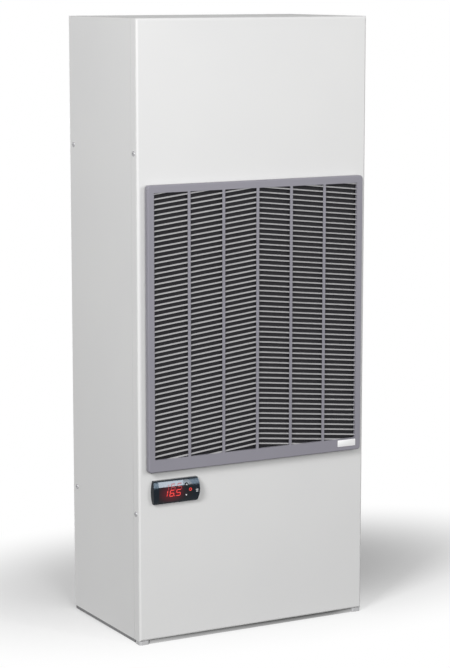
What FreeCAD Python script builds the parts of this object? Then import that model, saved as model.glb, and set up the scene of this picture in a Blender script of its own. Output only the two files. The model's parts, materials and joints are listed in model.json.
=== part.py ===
import FreeCAD, Part
import math
import os

# A wall-mounted air conditioner for a control cabinet, as the pieces that it comes apart into.
# Millimetres. X runs to the viewer's right, Y from the front to the back and Z up.
# The origin lies on the floor, under the middle of the outer box.

# Cabinet panels
CABINET_WIDTH = 400.0
CABINET_DEPTH = 236.0
SHEET = 1.5                 # steel sheet of the panels and inner walls
BEND = 3.5                  # outside bend radius of the cover and the rear plate
PANEL_GAP = 0.2             # play between panels that lap
SEAM = 0.6                  # open joint behind the front cover
COVER_RETURN = 18.5         # depth of the cover's folded sides
LAP = 12.0                  # tongue of a panel under the cover's folded side
REAR_FLANGE = 26.0          # depth of the rear plate's folded sides
PANEL_FLANGE = 14.0         # folded sides of the top panel and the base pan
FOOT_HEIGHT = 6.0
FOOT_LENGTH = 17.0
FOOT_CORNER = 4.0
FOOT_INSET = 0.4            # foot's outer faces behind the panels' faces
RAIL_INSET = 1.2            # rails under the base, behind the panels' faces
RAIL_WIDTH = 5.0
RAIL_CLEAR = 0.6            # rails above the ground
RAIL_GAP = 0.4              # rail to foot

# Heights of the three bays, from the panels' lower edge up
COMPRESSOR_BAY = 266.0
GRILLE_HEIGHT = 437.5
FAN_BAY = 246.5

# Chevron grille
GRILLE_MARGIN = 11.4        # cabinet side to grille side
GRILLE_PROUD = 12.0
GRILLE_CORNER = 5.0
GRILLE_EDGE = 1.8           # rounding of the front edge
GRILLE_FRAME = 5.0          # thickness of the frame
GRILLE_WALL = 2.5           # skirt
SHADOW_GAP = 4.0            # skirt to cover
GASKET_INSET = 5.0          # gasket behind the skirt's outer face
GASKET_WIDTH = 2.5
WINDOW_SIDE = 10.6          # frame's width at the sides
WINDOW_TOP = 11.4
WINDOW_BOTTOM = 19.6
COLUMNS = 6
RIB_WIDTH = 4.6
SLAT_PITCH = 8.0
SLAT_HEIGHT = 1.0
SLAT_DEPTH = 2.1
SLAT_SETBACK = 1.0          # depth of the ribs, which the slats stand behind
SLAT_LIFT = 0.9             # rise of a slat from its front to its back
SLAT_SLOPE = 6.3            # degrees, rising to the middle
FIRST_SLAT = 8.0            # middle of the lowest full slat above the window's lower edge
FUSE_LAP = 0.8              # bite of ribs and slats into the frame
STUD_RADIUS = 2.5
STUD_INSET = 38.0           # grille side to stud
STUD_LENGTH = 8.0           # behind the cover's face
STUD_PLAY = 0.2
BADGE_WIDTH = 33.4          # recess for a badge, at the lower right
BADGE_HEIGHT = 11.2
BADGE_RECESS = 0.6
BADGE_FROM_SIDE = 9.2
BADGE_RISE = 6.7
OPENING_LAND = 9.0          # cover inside the gasket, round the opening
OPENING_CORNER = 6.0
FILTER_THICKNESS = 6.0
FILTER_PLAY = 0.3
FILTER_LAP = 0.6            # mat wider than the window, each side

# Panel screws
SCREW_RADIUS = 2.0
SCREW_PLAY = 0.2
SCREW_HEAD_RADIUS = 4.0
SCREW_HEAD_HEIGHT = 1.6
SCREW_REACH = 3.0           # shank behind the inner sheet
SCREW_FROM_FRONT = 10.6
SCREW_FROM_BACK = 13.0
SCREW_BELOW_GRILLE = 66.0
SCREW_ABOVE_GRILLE = 46.5

# Back of the cabinet
SEAL_THICKNESS = 7.0
SEAL_WIDTH = 12.0
SEAL_INSET = 4.0
INSERT_BORE = 3.4           # core radius of an M8 thread
INSERT_BODY = 5.5           # half the width over the flats of its six sides
INSERT_FLANGE = 7.5
INSERT_FLANGE_THICKNESS = 1.2
INSERT_LENGTH = 14.0        # behind the rear plate's inner face
INSERT_FROM_SIDE = 35.0
INSERT_FROM_END = 42.0
INTAKE_RADIUS = 80.0
OUTLET_WIDTH = 260.0
OUTLET_HEIGHT = 124.0
OUTLET_CORNER = 10.0
GROMMET_BORE = 6.0
GROMMET_WALL = 2.5
GROMMET_LIP = 2.5
GROMMET_LIP_THICKNESS = 2.0
GROMMET_HEIGHT = 96.0       # above the base pan

# Condenser side
SHROUD_PLAY = 0.4
STUD_ROOM = 0.75            # grille stud to the shroud's wall
SHROUD_DEPTH = 45.0
ORIFICE_COLLAR = 22.0
CORE_GAP = 8.0
CORE_DEPTH = 25.0
CORE_MARGIN = 5.0
CORE_TUBE_PITCH = 10.0
CORE_TUBE = 2.2             # thickness of a flat tube
CORE_FIN_SETBACK = 2.5
HEADER_RADIUS = 14.0
HEADER_FLAT = 8.0           # header axis to its flat side
HEADER_GAP = 4.0
SADDLE_WIDTH = 22.0
SADDLE_HEIGHT = 18.0
SADDLE_WRAP = 6.0           # saddle round the back of a header
SADDLE_FROM_END = 95.0
FAN_RADIUS = 120.0
FAN_TIP_GAP = 4.0
FAN_GAP = 3.0               # shroud to hub
HUB_RADIUS = 42.0
HUB_LENGTH = 30.0
BLADES = 5
BLADE_CHORD = 66.0
BLADE_PITCH = 24.0          # degrees
BLADE_CAMBER = 5.0
BLADE_THICKNESS = 3.0
SHAFT_RADIUS = 4.0
SHAFT_PLAY = 0.05
SHAFT_IN_MOTOR = 26.0
MOTOR_GAP = 6.0
MOTOR_RADIUS = 40.0
MOTOR_LENGTH = 44.0
SPIDER_ARMS = 4
SPIDER_SHEET = 2.5
SPIDER_WIDTH = 16.0
SPIDER_LEG_GAP = 10.0       # orifice collar to a spider leg
PARTITION_GAP = 8.0

# Evaporator side
SHELF_RISE = 6.0            # shelf above the grille's top
CHAMBER_FLOOR_RISE = 20.0   # chamber floor above the grille's lower edge
WALL_FLANGE = 14.0
TRAY_DEPTH = 18.0
TRAY_WALL = 2.0
TRAY_PLAY = 3.0
OUTLET_ABOVE_TRAY = 9.0
COIL_ABOVE_OUTLET = 16.0
COIL_HEIGHT = 120.0
COIL_SIDE = 48.5            # inner face of the side panel to the fin block
COIL_PLAY = 4.0
COIL_FINS = 30
COIL_FIN_SHARE = 0.4        # fin thickness over fin pitch
COIL_CORE = 40.0            # height of the block's unbroken middle
COIL_PLATE = 1.5
COIL_TUBE_RADIUS = 4.8
COIL_ROW_PITCH = 36.0
COIL_TUBE_PITCH = 50.0
COIL_STUB = 4.0             # straight end of a return bend
INLET_FLANGE = 22.0
INLET_SHEET = 2.0
INLET_DEPTH = 20.0
INLET_THROAT = 58.0
INLET_LIP = 5.0             # straight end of the nozzle, inside the eye
IMPELLER_RADIUS = 88.0
IMPELLER_EYE_GAP = 2.0
IMPELLER_LAP = 3.0          # inlet nozzle inside the eye
IMPELLER_WIDTH = 42.0
IMPELLER_DISC = 2.5
IMPELLER_BOSS = 14.0
IMPELLER_BOSS_LENGTH = 16.0
IMPELLER_BLADES = 7
IMPELLER_BLADE = 2.2
IMPELLER_SWEEP = 42.0       # degrees from the eye to the rim
BLOWER_MOTOR_RADIUS = 44.0
BLOWER_MOTOR_LENGTH = 50.0
BRACKET_SHEET = 2.0
BRACKET_WIDTH = 110.0
BRACKET_ABOVE_AXIS = 56.0
BRACKET_FOOT = 40.0

# Compressor bay
COMPRESSOR_SIDE = 108.0     # inner face of the right side panel to the compressor axis
COMPRESSOR_RADIUS = 58.0
COMPRESSOR_HEIGHT = 200.0
COMPRESSOR_CHAMFER = 16.0
COMPRESSOR_STUB = 14.0
STUB_OFFSET = 20.0
GROMMETS = 3
GROMMET_HEIGHT_UNDER_PLATE = 14.0
GROMMET_RADIUS = 11.0
GROMMET_CIRCLE = 72.0
FOOT_PLATE = 3.0
FOOT_PLATE_ARM = 24.0
TERMINAL_COVER = (34.0, 32.0, 16.0)
TERMINAL_OFFSET = 20.0
ACCUMULATOR_RADIUS = 26.0
ACCUMULATOR_HEIGHT = 118.0
ACCUMULATOR_CHAMFER = 10.0
ACCUMULATOR_GAP = 6.0
ACCUMULATOR_RISE = 58.0     # above the compressor's foot plate
ACCUMULATOR_DROP = 24.0     # from the accumulator down to its outlet pipe
BOX_SIDE = 10.0             # inner face of the left side panel to the electrical box
BOX_FROM_FRONT = 95.0
BOX_DEPTH = 110.0
BOX_HEIGHT = 180.0
BOX_WALL = 2.0
BOX_LID_RIM = 6.0
BOX_PLAY = 0.2
STRIP_MARGIN = 18.0         # box side to terminal strip
STRIP_DEPTH = 22.0
STRIP_HEIGHT = 20.0
STRIP_POLES = 7
STRIP_NOTCH = 0.6           # notch width over pole pitch
STRIP_NOTCH_DEPTH = 8.0
STRIP_RISE = 110.0
CAPACITOR_RADIUS = 20.0
CAPACITOR_HEIGHT = 80.0
DRAIN_BORE = 6.0
DRAIN_BODY = 9.0
DRAIN_FLANGE = 14.0
DRAIN_FLANGE_THICKNESS = 2.0
DRAIN_RISE = 24.0
DRAIN_ROOM = 1.0            # drain flange to the rear plate's lower flange
DRAIN_CLEAR = 7.5           # drain flange to the electrical box and to the accumulator
HOSE_RADIUS = 8.0
HOSE_BORE = 5.5
EXHAUST_SLOTS = 8
EXHAUST_SLOT_WIDTH = 8.0
EXHAUST_SLOT_PITCH = 15.0

# Refrigerant lines
HOT_LINE_RADIUS = 5.0
HOT_LINE_RISE = 24.0
LIQUID_LINE_RADIUS = 4.0
LIQUID_LINE_BACK = 25.0
COLD_LINE_RADIUS = 6.0
CAPILLARY_RADIUS = 1.6
LINE_BEND = 16.0
MITRE = 45.0                # degrees that a line turns at each mitre of a bend
LINE_HOLE_PLAY = 1.0
LINE_FROM_END = 25.0        # header end to the line's joint
DRIER_RADIUS = 13.0
DRIER_LENGTH = 100.0
DRIER_CHAMFER = 8.0
DRIER_DROP = 46.0           # below the shroud
CAPILLARY_DROP = 26.0
COLD_LINE_DROP = 24.0       # below the chamber floor
SWITCH_RADIUS = 8.0
SWITCH_HEIGHT = 26.0

# Thermostat
THERMOSTAT_FROM_SIDE = 60.1     # cabinet side to the middle of the thermostat
THERMOSTAT_BELOW_GRILLE = 32.8
BEZEL_WIDTH = 80.0
BEZEL_HEIGHT = 36.5
BEZEL_PROUD = 10.0
BEZEL_EDGE = 5.5                # thickness at the upper and lower edges
BEZEL_BULGE = 2.5               # how far each end bows out
LENS_THICKNESS = 1.2
LENS_LEFT = 9.5                 # bezel's left end to the lens
LENS_RIGHT = 11.5
LENS_MARGIN = 1.6
CASE_WIDTH = 70.4
CASE_HEIGHT = 28.4
CASE_DEPTH = 62.0
CASE_PLAY = 0.3
CLIP_SIZE = (5.0, 20.0, 9.0)
BUTTON_RADIUS = 2.6
BUTTON_PLAY = 0.15
BUTTON_PROUD = 0.4
BUTTON_TRAVEL = 0.8
BUTTON_FLOOR = 2.0              # bezel left under a button
BUTTON_ROOM = 0.3
BUTTONS = {"up": (17.0, 8.9), "set": (23.0, 0.8), "down": (16.2, -7.7)}

# Planes and places that follow from the sizes above
HALF = CABINET_WIDTH / 2
LAP_HALF = HALF - SHEET - PANEL_GAP
INNER_HALF = HALF - SHEET
CABINET_HEIGHT = COMPRESSOR_BAY + GRILLE_HEIGHT + FAN_BAY
Y_FRONT = GRILLE_PROUD - (GRILLE_PROUD + CABINET_DEPTH + SEAL_THICKNESS) / 2
Y_BACK = Y_FRONT + CABINET_DEPTH
Y_MIDDLE = (Y_FRONT + Y_BACK) / 2
Y_SEAM = Y_FRONT + COVER_RETURN + SEAM
Y_REAR_INSIDE = Y_BACK - SHEET
Y_COVER_INSIDE = Y_FRONT + SHEET + PANEL_GAP
Z_FLOOR = FOOT_HEIGHT
Z_PAN = Z_FLOOR + SHEET
Z_TOP = Z_FLOOR + CABINET_HEIGHT

GRILLE_HALF = HALF - GRILLE_MARGIN
GRILLE_LOW = Z_FLOOR + COMPRESSOR_BAY
GRILLE_HIGH = GRILLE_LOW + GRILLE_HEIGHT
Y_GRILLE = Y_FRONT - GRILLE_PROUD
WINDOW_HALF = GRILLE_HALF - WINDOW_SIDE
WINDOW_LOW = GRILLE_LOW + WINDOW_BOTTOM
WINDOW_HIGH = GRILLE_HIGH - WINDOW_TOP
Y_FRAME = Y_GRILLE + GRILLE_FRAME
STUD_LOW = GRILLE_LOW + GASKET_INSET + GASKET_WIDTH / 2
STUD_HIGH = GRILLE_HIGH - GASKET_INSET - GASKET_WIDTH / 2
STUD_X = GRILLE_HALF - STUD_INSET
STUDS = [(x, z) for x in (-STUD_X, STUD_X) for z in (STUD_LOW, STUD_HIGH)]
SCREW_HEIGHTS = (GRILLE_LOW - SCREW_BELOW_GRILLE, GRILLE_HIGH + SCREW_ABOVE_GRILLE)
INSERTS = [(side * (HALF - INSERT_FROM_SIDE), z)
           for side in (-1, 1) for z in (Z_FLOOR + INSERT_FROM_END, Z_TOP - INSERT_FROM_END)]

SHROUD_HALF = LAP_HALF - SHEET - SHROUD_PLAY
SHROUD_LOW = STUD_LOW - STUD_RADIUS - STUD_ROOM - SHEET
SHROUD_HIGH = STUD_HIGH + STUD_RADIUS + STUD_ROOM + SHEET
Y_SHROUD = Y_COVER_INSIDE + SHROUD_DEPTH
CORE_HALF = SHROUD_HALF - SHEET - HEADER_GAP - HEADER_RADIUS - HEADER_FLAT
CORE_LOW = SHROUD_LOW + SHEET + CORE_MARGIN
CORE_HIGH = SHROUD_HIGH - SHEET - CORE_MARGIN
Y_CORE = Y_FRONT + SHEET + CORE_GAP
Y_HEADER = Y_CORE + CORE_DEPTH / 2
X_LINES = CORE_HALF + HEADER_FLAT
FAN_Z = (GRILLE_LOW + GRILLE_HIGH) / 2
Y_HUB = Y_SHROUD + FAN_GAP
Y_MOTOR = Y_HUB + HUB_LENGTH + MOTOR_GAP
Y_SPIDER = Y_MOTOR + MOTOR_LENGTH
Y_PARTITION = Y_SPIDER + SPIDER_SHEET + PARTITION_GAP
ORIFICE_RADIUS = FAN_RADIUS + FAN_TIP_GAP

Z_SHELF = GRILLE_HIGH + SHELF_RISE
Z_CHAMBER = GRILLE_LOW + CHAMBER_FLOOR_RISE
Y_CHAMBER = Y_PARTITION + SHEET
Y_DUCT = (Y_CHAMBER + Y_REAR_INSIDE) / 2
OUTLET_LOW = Z_CHAMBER + SHEET + TRAY_DEPTH + OUTLET_ABOVE_TRAY
OUTLET_HIGH = OUTLET_LOW + OUTLET_HEIGHT
COIL_LOW = OUTLET_HIGH + COIL_ABOVE_OUTLET
COIL_HIGH = COIL_LOW + COIL_HEIGHT
COIL_HALF = INNER_HALF - COIL_SIDE
COIL_ROWS = (Y_DUCT - COIL_ROW_PITCH / 2, Y_DUCT + COIL_ROW_PITCH / 2)
COIL_TUBES = ((COIL_LOW + COIL_HIGH - COIL_TUBE_PITCH) / 2, (COIL_LOW + COIL_HIGH + COIL_TUBE_PITCH) / 2)
BLOWER_Z = (Z_SHELF + SHEET + Z_TOP - SHEET) / 2
Y_EYE = Y_REAR_INSIDE - INLET_DEPTH + IMPELLER_LAP
Y_IMPELLER_BACK = Y_EYE - IMPELLER_WIDTH - 2 * IMPELLER_DISC
Y_BLOWER_MOTOR = Y_IMPELLER_BACK - MOTOR_GAP
Y_BRACKET = Y_BLOWER_MOTOR - BLOWER_MOTOR_LENGTH

COMPRESSOR_X = INNER_HALF - COMPRESSOR_SIDE
COMPRESSOR_LOW = Z_PAN + GROMMET_HEIGHT_UNDER_PLATE + FOOT_PLATE
COMPRESSOR_HIGH = COMPRESSOR_LOW + COMPRESSOR_HEIGHT
ACCUMULATOR_X = COMPRESSOR_X - COMPRESSOR_RADIUS - ACCUMULATOR_GAP - ACCUMULATOR_RADIUS
ACCUMULATOR_LOW = COMPRESSOR_LOW + ACCUMULATOR_RISE
ACCUMULATOR_HIGH = ACCUMULATOR_LOW + ACCUMULATOR_HEIGHT
DRAIN_X = ACCUMULATOR_X - ACCUMULATOR_RADIUS - DRAIN_CLEAR - DRAIN_FLANGE
BOX_LEFT = BOX_SIDE - INNER_HALF
BOX_RIGHT = DRAIN_X - DRAIN_FLANGE - DRAIN_CLEAR
Y_BOX = Y_FRONT + BOX_FROM_FRONT
Y_DRAIN = Y_BACK - REAR_FLANGE - DRAIN_FLANGE - DRAIN_ROOM
Y_DRIER = Y_SHROUD + LIQUID_LINE_BACK
DRIER_HIGH = SHROUD_LOW - DRIER_DROP
DRIER_LOW = DRIER_HIGH - DRIER_LENGTH
HOT_LINE_Z = COMPRESSOR_HIGH + COMPRESSOR_STUB + HOT_LINE_RISE
COLD_LINE_Z = Z_CHAMBER - COLD_LINE_DROP
THERMOSTAT_X = THERMOSTAT_FROM_SIDE - HALF
THERMOSTAT_Z = GRILLE_LOW - THERMOSTAT_BELOW_GRILLE

ALONG_X = FreeCAD.Vector(1, 0, 0)
ALONG_Y = FreeCAD.Vector(0, 1, 0)
ALONG_Z = FreeCAD.Vector(0, 0, 1)
PAST = 1.0                  # how far a cutting tool runs past the face it cuts


def vec(x, y, z):
    return FreeCAD.Vector(x, y, z)


def block(x_range, y_range, z_range):
    """A box between two values on each axis."""
    low = vec(x_range[0], y_range[0], z_range[0])
    return Part.makeBox(x_range[1] - x_range[0], y_range[1] - y_range[0], z_range[1] - z_range[0], low)


def edges_along(shape, direction):
    """The straight edges of a shape that run along a direction."""
    found = []
    for edge in shape.Edges:
        run = edge.Vertexes[-1].Point - edge.Vertexes[0].Point
        if run.Length and run.cross(direction).Length < 1e-6 * run.Length:
            found.append(edge)
    return found


def edges_at_y(shape, y):
    """The edges of a shape that lie in one plane across Y."""
    return [e for e in shape.Edges if abs(e.BoundBox.YMin - y) < 1e-6 and abs(e.BoundBox.YMax - y) < 1e-6]


def rounded_block(x_range, y_range, z_range, radius):
    """A box whose four edges along Y are rounded."""
    plain = block(x_range, y_range, z_range)
    return plain.makeFillet(radius, edges_along(plain, ALONG_Y))


def ring_block(half, z_range, wall, y_range, radius):
    """A rectangular wall of one thickness, with rounded corners."""
    low, high = z_range
    outer = rounded_block((-half, half), y_range, z_range, radius)
    past = (y_range[0] - PAST, y_range[1] + PAST)
    inner_radius = max(radius - wall, radius / 4)
    inner = rounded_block((wall - half, half - wall), past, (low + wall, high - wall), inner_radius)
    return outer.cut(inner)


def prism(points, direction):
    """A solid from a flat outline of points, pushed along a direction."""
    return Part.Face(Part.makePolygon(points + points[:1])).extrude(direction)


def rod(radius, start, end):
    """A round bar between two points."""
    return Part.makeCylinder(radius, (end - start).Length, start, end - start)


def turned(profile, centre, axis_direction):
    """A solid turned about an axis from (radius, height) points along that axis."""
    side = ALONG_Z if axis_direction.cross(ALONG_Z).Length > 0.5 else ALONG_X
    points = [centre + side * r + axis_direction * h for r, h in profile]
    face = Part.Face(Part.makePolygon(points + points[:1]))
    return face.revolve(centre, axis_direction, 360)


def chamfered_rod(radius, chamfer, low, high):
    """A round bar with cone-shaped ends, as a pressed can has."""
    axis = (high - low).normalize()
    length = low.distanceToPoint(high)
    inner = radius - chamfer
    profile = [(0, 0), (inner, 0), (radius, chamfer), (radius, length - chamfer), (inner, length),
               (0, length)]
    return turned(profile, low, axis)


def bend_points(before, corner, after, bend):
    """Corners of the short straight pieces that a bend is mitred from."""
    come = (corner - before).normalize()
    leave = (after - corner).normalize()
    turn = math.degrees(come.getAngle(leave))
    count = max(2, round(turn / MITRE))
    normal = come.cross(leave).normalize()
    inward = normal.cross(come)
    back = bend * math.tan(math.radians(turn / 2))
    centre = corner - come * back + inward * bend
    arm = inward * (-bend / math.cos(math.radians(turn / count / 2)))
    turns = [FreeCAD.Rotation(normal, turn * (i + 0.5) / count) for i in range(count)]
    return [centre + rotation.multVec(arm) for rotation in turns]


def bent_tube(points, radius, bend):
    """A round line along straight runs, with mitred bends between them."""
    route = [points[0]]
    for before, corner, after in zip(points, points[1:], points[2:]):
        route += bend_points(before, corner, after, bend)
    route.append(points[-1])
    section = Part.Wire(Part.makeCircle(radius, route[0], route[1] - route[0]))
    return Part.makePolygon(route).makePipeShell([section], True, False, 1)


def spread(count, centre, radius, first_degrees):
    """Points evenly spaced on a circle in the plane across Z."""
    turns = [math.radians(first_degrees + 360 * i / count) for i in range(count)]
    return [vec(centre.x + radius * math.cos(t), centre.y + radius * math.sin(t), centre.z) for t in turns]


def mirrored(shape):
    """The same piece for the other side of the cabinet."""
    return shape.mirror(vec(0, 0, 0), ALONG_X)


def cut_all(shape, tools):
    return shape.cut(Part.makeCompound(tools)) if tools else shape


def cross_holes(radius, y, heights):
    """Cutters for screw holes through both sides of the cabinet."""
    return [rod(radius, vec(-HALF - PAST, y, z), vec(HALF + PAST, y, z)) for z in heights]


def depth_hole(radius, x, z, y_range):
    return rod(radius, vec(x, y_range[0] - PAST, z), vec(x, y_range[1] + PAST, z))


def tray(x_half, y_closed, y_open, z_range):
    """A folded sheet tray with bent edges, closed at one end of Y."""
    low, high = z_range
    inward = 1 if y_open > y_closed else -1
    outer = block((-x_half, x_half), sorted((y_closed, y_open)), z_range)
    outer = outer.makeFillet(BEND, edges_at_y(outer, y_closed))
    y_inside = y_closed + inward * SHEET
    inner = block((SHEET - x_half, x_half - SHEET), sorted((y_inside, y_open + inward * (SHEET + BEND))),
                  (low + SHEET, high - SHEET))
    inner = inner.makeFillet(max(BEND - SHEET, BEND / 4), edges_at_y(inner, y_inside))
    return outer.cut(inner)


def opening_ranges():
    """Half width and heights of the cover's opening behind the grille."""
    inset = GASKET_INSET + GASKET_WIDTH + OPENING_LAND
    return GRILLE_HALF - inset, (GRILLE_LOW + inset, GRILLE_HIGH - inset)


def front_cover():
    shell = tray(HALF, Y_FRONT, Y_FRONT + COVER_RETURN, (Z_FLOOR, Z_TOP))
    through = (Y_FRONT - PAST, Y_FRONT + SHEET + PAST)
    half, heights = opening_ranges()
    case_half = CASE_WIDTH / 2 + CASE_PLAY
    case_rise = CASE_HEIGHT / 2 + CASE_PLAY
    tools = [
        rounded_block((-half, half), through, heights, OPENING_CORNER),
        block((THERMOSTAT_X - case_half, THERMOSTAT_X + case_half), through,
              (THERMOSTAT_Z - case_rise, THERMOSTAT_Z + case_rise)),
    ]
    tools += [depth_hole(STUD_RADIUS + STUD_PLAY, x, z, through) for x, z in STUDS]
    tools += cross_holes(SCREW_RADIUS + SCREW_PLAY, Y_FRONT + SCREW_FROM_FRONT, SCREW_HEIGHTS)
    return cut_all(shell, tools)


def lap_outline(outer, inward):
    """Section of a panel that steps in under the cover's folded side, as (across, y) points."""
    step = SHEET + PANEL_GAP
    y_tip = Y_SEAM - LAP
    across = [(0, Y_BACK), (0, Y_SEAM), (step, Y_SEAM), (step, y_tip), (step + SHEET, y_tip),
              (step + SHEET, Y_SEAM + SHEET), (SHEET, Y_SEAM + SHEET), (SHEET, Y_BACK)]
    return [(outer + inward * a, y) for a, y in across]


def left_side_panel():
    outline = [vec(x, y, Z_FLOOR) for x, y in lap_outline(-HALF, 1)]
    panel = prism(outline, vec(0, 0, CABINET_HEIGHT))
    tools = cross_holes(SCREW_RADIUS + SCREW_PLAY, Y_FRONT + SCREW_FROM_FRONT, SCREW_HEIGHTS)
    tools += cross_holes(SCREW_RADIUS + SCREW_PLAY, Y_BACK - SCREW_FROM_BACK, SCREW_HEIGHTS)
    clear = LAP_HALF - SHEET - PANEL_GAP
    ends = Y_SEAM + SHEET + PANEL_GAP
    trim = 2 * SHEET + 2 * PANEL_GAP
    keep = block((-HALF, HALF), (Y_FRONT, ends), (Z_FLOOR + trim, Z_TOP - trim))
    lap = block((-LAP_HALF, -clear), (Y_FRONT, ends), (Z_FLOOR, Z_TOP)).cut(keep)
    return cut_all(panel, tools + [lap])


def end_panel(z_outer, inward):
    """Top panel or base pan: a sheet that steps under the cover, with folded sides."""
    half = LAP_HALF
    outline = [vec(-half, y, z) for z, y in lap_outline(z_outer, inward)]
    sheet = prism(outline, vec(2 * half, 0, 0))
    tongue_half = half - SHEET - PANEL_GAP
    z_tongue = sorted((z_outer, z_outer + inward * PANEL_FLANGE))
    corners = []
    for side in (-1, 1):
        x_range = sorted((side * tongue_half, side * HALF))
        corners.append(block(x_range, (Y_FRONT, Y_SEAM), z_tongue))
    sheet = cut_all(sheet, corners)
    y_range = (Y_SEAM + SHEET + PANEL_GAP, Y_BACK - REAR_FLANGE - PANEL_GAP)
    z_range = sorted((z_outer, z_outer + inward * PANEL_FLANGE))
    sides = [block((half - SHEET, half), y_range, z_range), block((-half, SHEET - half), y_range, z_range)]
    return sheet.multiFuse(sides).removeSplitter()


def exhaust_slots():
    """Cutters for the row of air slots in the base pan, between the box and the accumulator."""
    first = Y_MIDDLE - (EXHAUST_SLOTS - 1) * EXHAUST_SLOT_PITCH / 2
    half_length = DRAIN_FLANGE + DRAIN_CLEAR
    x_range = (DRAIN_X - half_length, DRAIN_X + half_length)
    slots = []
    for i in range(EXHAUST_SLOTS):
        y = first + i * EXHAUST_SLOT_PITCH
        slots.append(block(x_range, (y, y + EXHAUST_SLOT_WIDTH), (Z_FLOOR - PAST, Z_PAN + PAST)))
    return slots


def base_pan():
    pan = end_panel(Z_FLOOR, 1)
    drain = rod(DRAIN_BODY, vec(DRAIN_X, Y_DRAIN, Z_FLOOR - PAST), vec(DRAIN_X, Y_DRAIN, Z_PAN + PAST))
    return cut_all(pan, exhaust_slots() + [drain])


def corner_feet():
    """Two feet at the front corners, and two at the back behind the ends of the rails."""
    behind_rail = HALF - RAIL_INSET - RAIL_WIDTH - RAIL_GAP
    feet = []
    for side in (-1, 1):
        for edge, y_outer, inward in ((HALF - FOOT_INSET, Y_FRONT + FOOT_INSET, 1),
                                      (behind_rail, Y_BACK - FOOT_INSET, -1)):
            x_range = sorted((side * edge, side * (edge - FOOT_LENGTH)))
            y_range = sorted((y_outer, y_outer + inward * FOOT_LENGTH))
            foot = block(x_range, y_range, (0, FOOT_HEIGHT))
            feet.append(foot.makeFillet(FOOT_CORNER, edges_along(foot, ALONG_Z)))
    return Part.makeCompound(feet)


def base_rails():
    """Rails that close the low gap under both sides and the front, between the feet."""
    start = FOOT_INSET + FOOT_LENGTH + RAIL_GAP
    heights = (RAIL_CLEAR, Z_FLOOR)
    outer = HALF - RAIL_INSET
    left = block((-outer, RAIL_WIDTH - outer), (Y_FRONT + start, Y_BACK - RAIL_INSET), heights)
    y_front = Y_FRONT + RAIL_INSET
    front = block((start - HALF, HALF - start), (y_front, y_front + RAIL_WIDTH), heights)
    return Part.makeCompound([left, mirrored(left), front])


def rear_plate():
    low, high = Z_FLOOR + SHEET + PANEL_GAP, Z_TOP - SHEET - PANEL_GAP
    shell = tray(LAP_HALF, Y_BACK, Y_BACK - REAR_FLANGE, (low, high))
    outlet_half = OUTLET_WIDTH / 2
    through = (Y_REAR_INSIDE - PAST, Y_BACK + PAST)
    tools = [
        depth_hole(INTAKE_RADIUS, 0, BLOWER_Z, through),
        rounded_block((-outlet_half, outlet_half), through, (OUTLET_LOW, OUTLET_HIGH), OUTLET_CORNER),
        depth_hole(GROMMET_BORE + GROMMET_WALL, *grommet_place(), through),
    ]
    tools += [six_sided(x, z, through) for x, z in INSERTS]
    tools += cross_holes(SCREW_RADIUS + SCREW_PLAY, Y_BACK - SCREW_FROM_BACK, SCREW_HEIGHTS)
    return cut_all(shell, tools)


def rear_seal():
    """Four foam strips, butted at the corners."""
    y_range = (Y_BACK, Y_BACK + SEAL_THICKNESS)
    edge = LAP_HALF - SEAL_INSET
    low, high = Z_PAN + PANEL_GAP + SEAL_INSET, Z_TOP - SHEET - PANEL_GAP - SEAL_INSET
    strips = [block((-edge, edge), y_range, (low, low + SEAL_WIDTH)),
              block((-edge, edge), y_range, (high - SEAL_WIDTH, high))]
    for side in (-1, 1):
        x_range = sorted((side * edge, side * (edge - SEAL_WIDTH)))
        strips.append(block(x_range, y_range, (low + SEAL_WIDTH, high - SEAL_WIDTH)))
    return Part.makeCompound(strips)


def six_sided(x, z, y_range):
    """A bar along Y with the six flat sides of an insert."""
    reach = INSERT_BODY / math.cos(math.radians(30))
    turns = [math.radians(60 * i) for i in range(6)]
    outline = [vec(x + reach * math.cos(t), y_range[0], z + reach * math.sin(t)) for t in turns]
    return prism(outline, vec(0, y_range[1] - y_range[0], 0))


def mounting_inserts():
    """Threaded rivet nuts: a round flange outside the rear plate and a six-sided body through it."""
    y_range = (Y_REAR_INSIDE - INSERT_LENGTH, Y_BACK + INSERT_FLANGE_THICKNESS)
    inserts = []
    for x, z in INSERTS:
        flange = rod(INSERT_FLANGE, vec(x, Y_BACK, z), vec(x, y_range[1], z))
        body = six_sided(x, z, (y_range[0], Y_BACK))
        inserts.append(flange.fuse(body).cut(depth_hole(INSERT_BORE, x, z, y_range)))
    return Part.makeCompound(inserts)


def grommet_place():
    return (BOX_LEFT + BOX_RIGHT) / 2, Z_PAN + GROMMET_HEIGHT


def cable_grommet():
    x, z = grommet_place()
    body = GROMMET_BORE + GROMMET_WALL
    lip = body + GROMMET_LIP
    outside, inside = GROMMET_LIP_THICKNESS, -SHEET - GROMMET_LIP_THICKNESS
    profile = [(GROMMET_BORE, outside), (lip, outside), (lip, 0), (body, 0), (body, -SHEET), (lip, -SHEET),
               (lip, inside), (GROMMET_BORE, inside)]
    return turned(profile, vec(x, Y_BACK, z), ALONG_Y)


def panel_screw(side, y, z):
    """A pan-head screw that enters from one side of the cabinet."""
    reach = 2 * SHEET + PANEL_GAP + SCREW_REACH
    profile = [(0, SCREW_HEAD_HEIGHT), (SCREW_HEAD_RADIUS, SCREW_HEAD_HEIGHT), (SCREW_HEAD_RADIUS, 0),
               (SCREW_RADIUS, 0), (SCREW_RADIUS, -reach), (0, -reach)]
    return turned(profile, vec(side * HALF, y, z), ALONG_X * side)


def panel_screws():
    rows = (Y_FRONT + SCREW_FROM_FRONT, Y_BACK - SCREW_FROM_BACK)
    places = [(side, y, z) for side in (-1, 1) for y in rows for z in SCREW_HEIGHTS]
    return Part.makeCompound([panel_screw(*place) for place in places])


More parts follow.
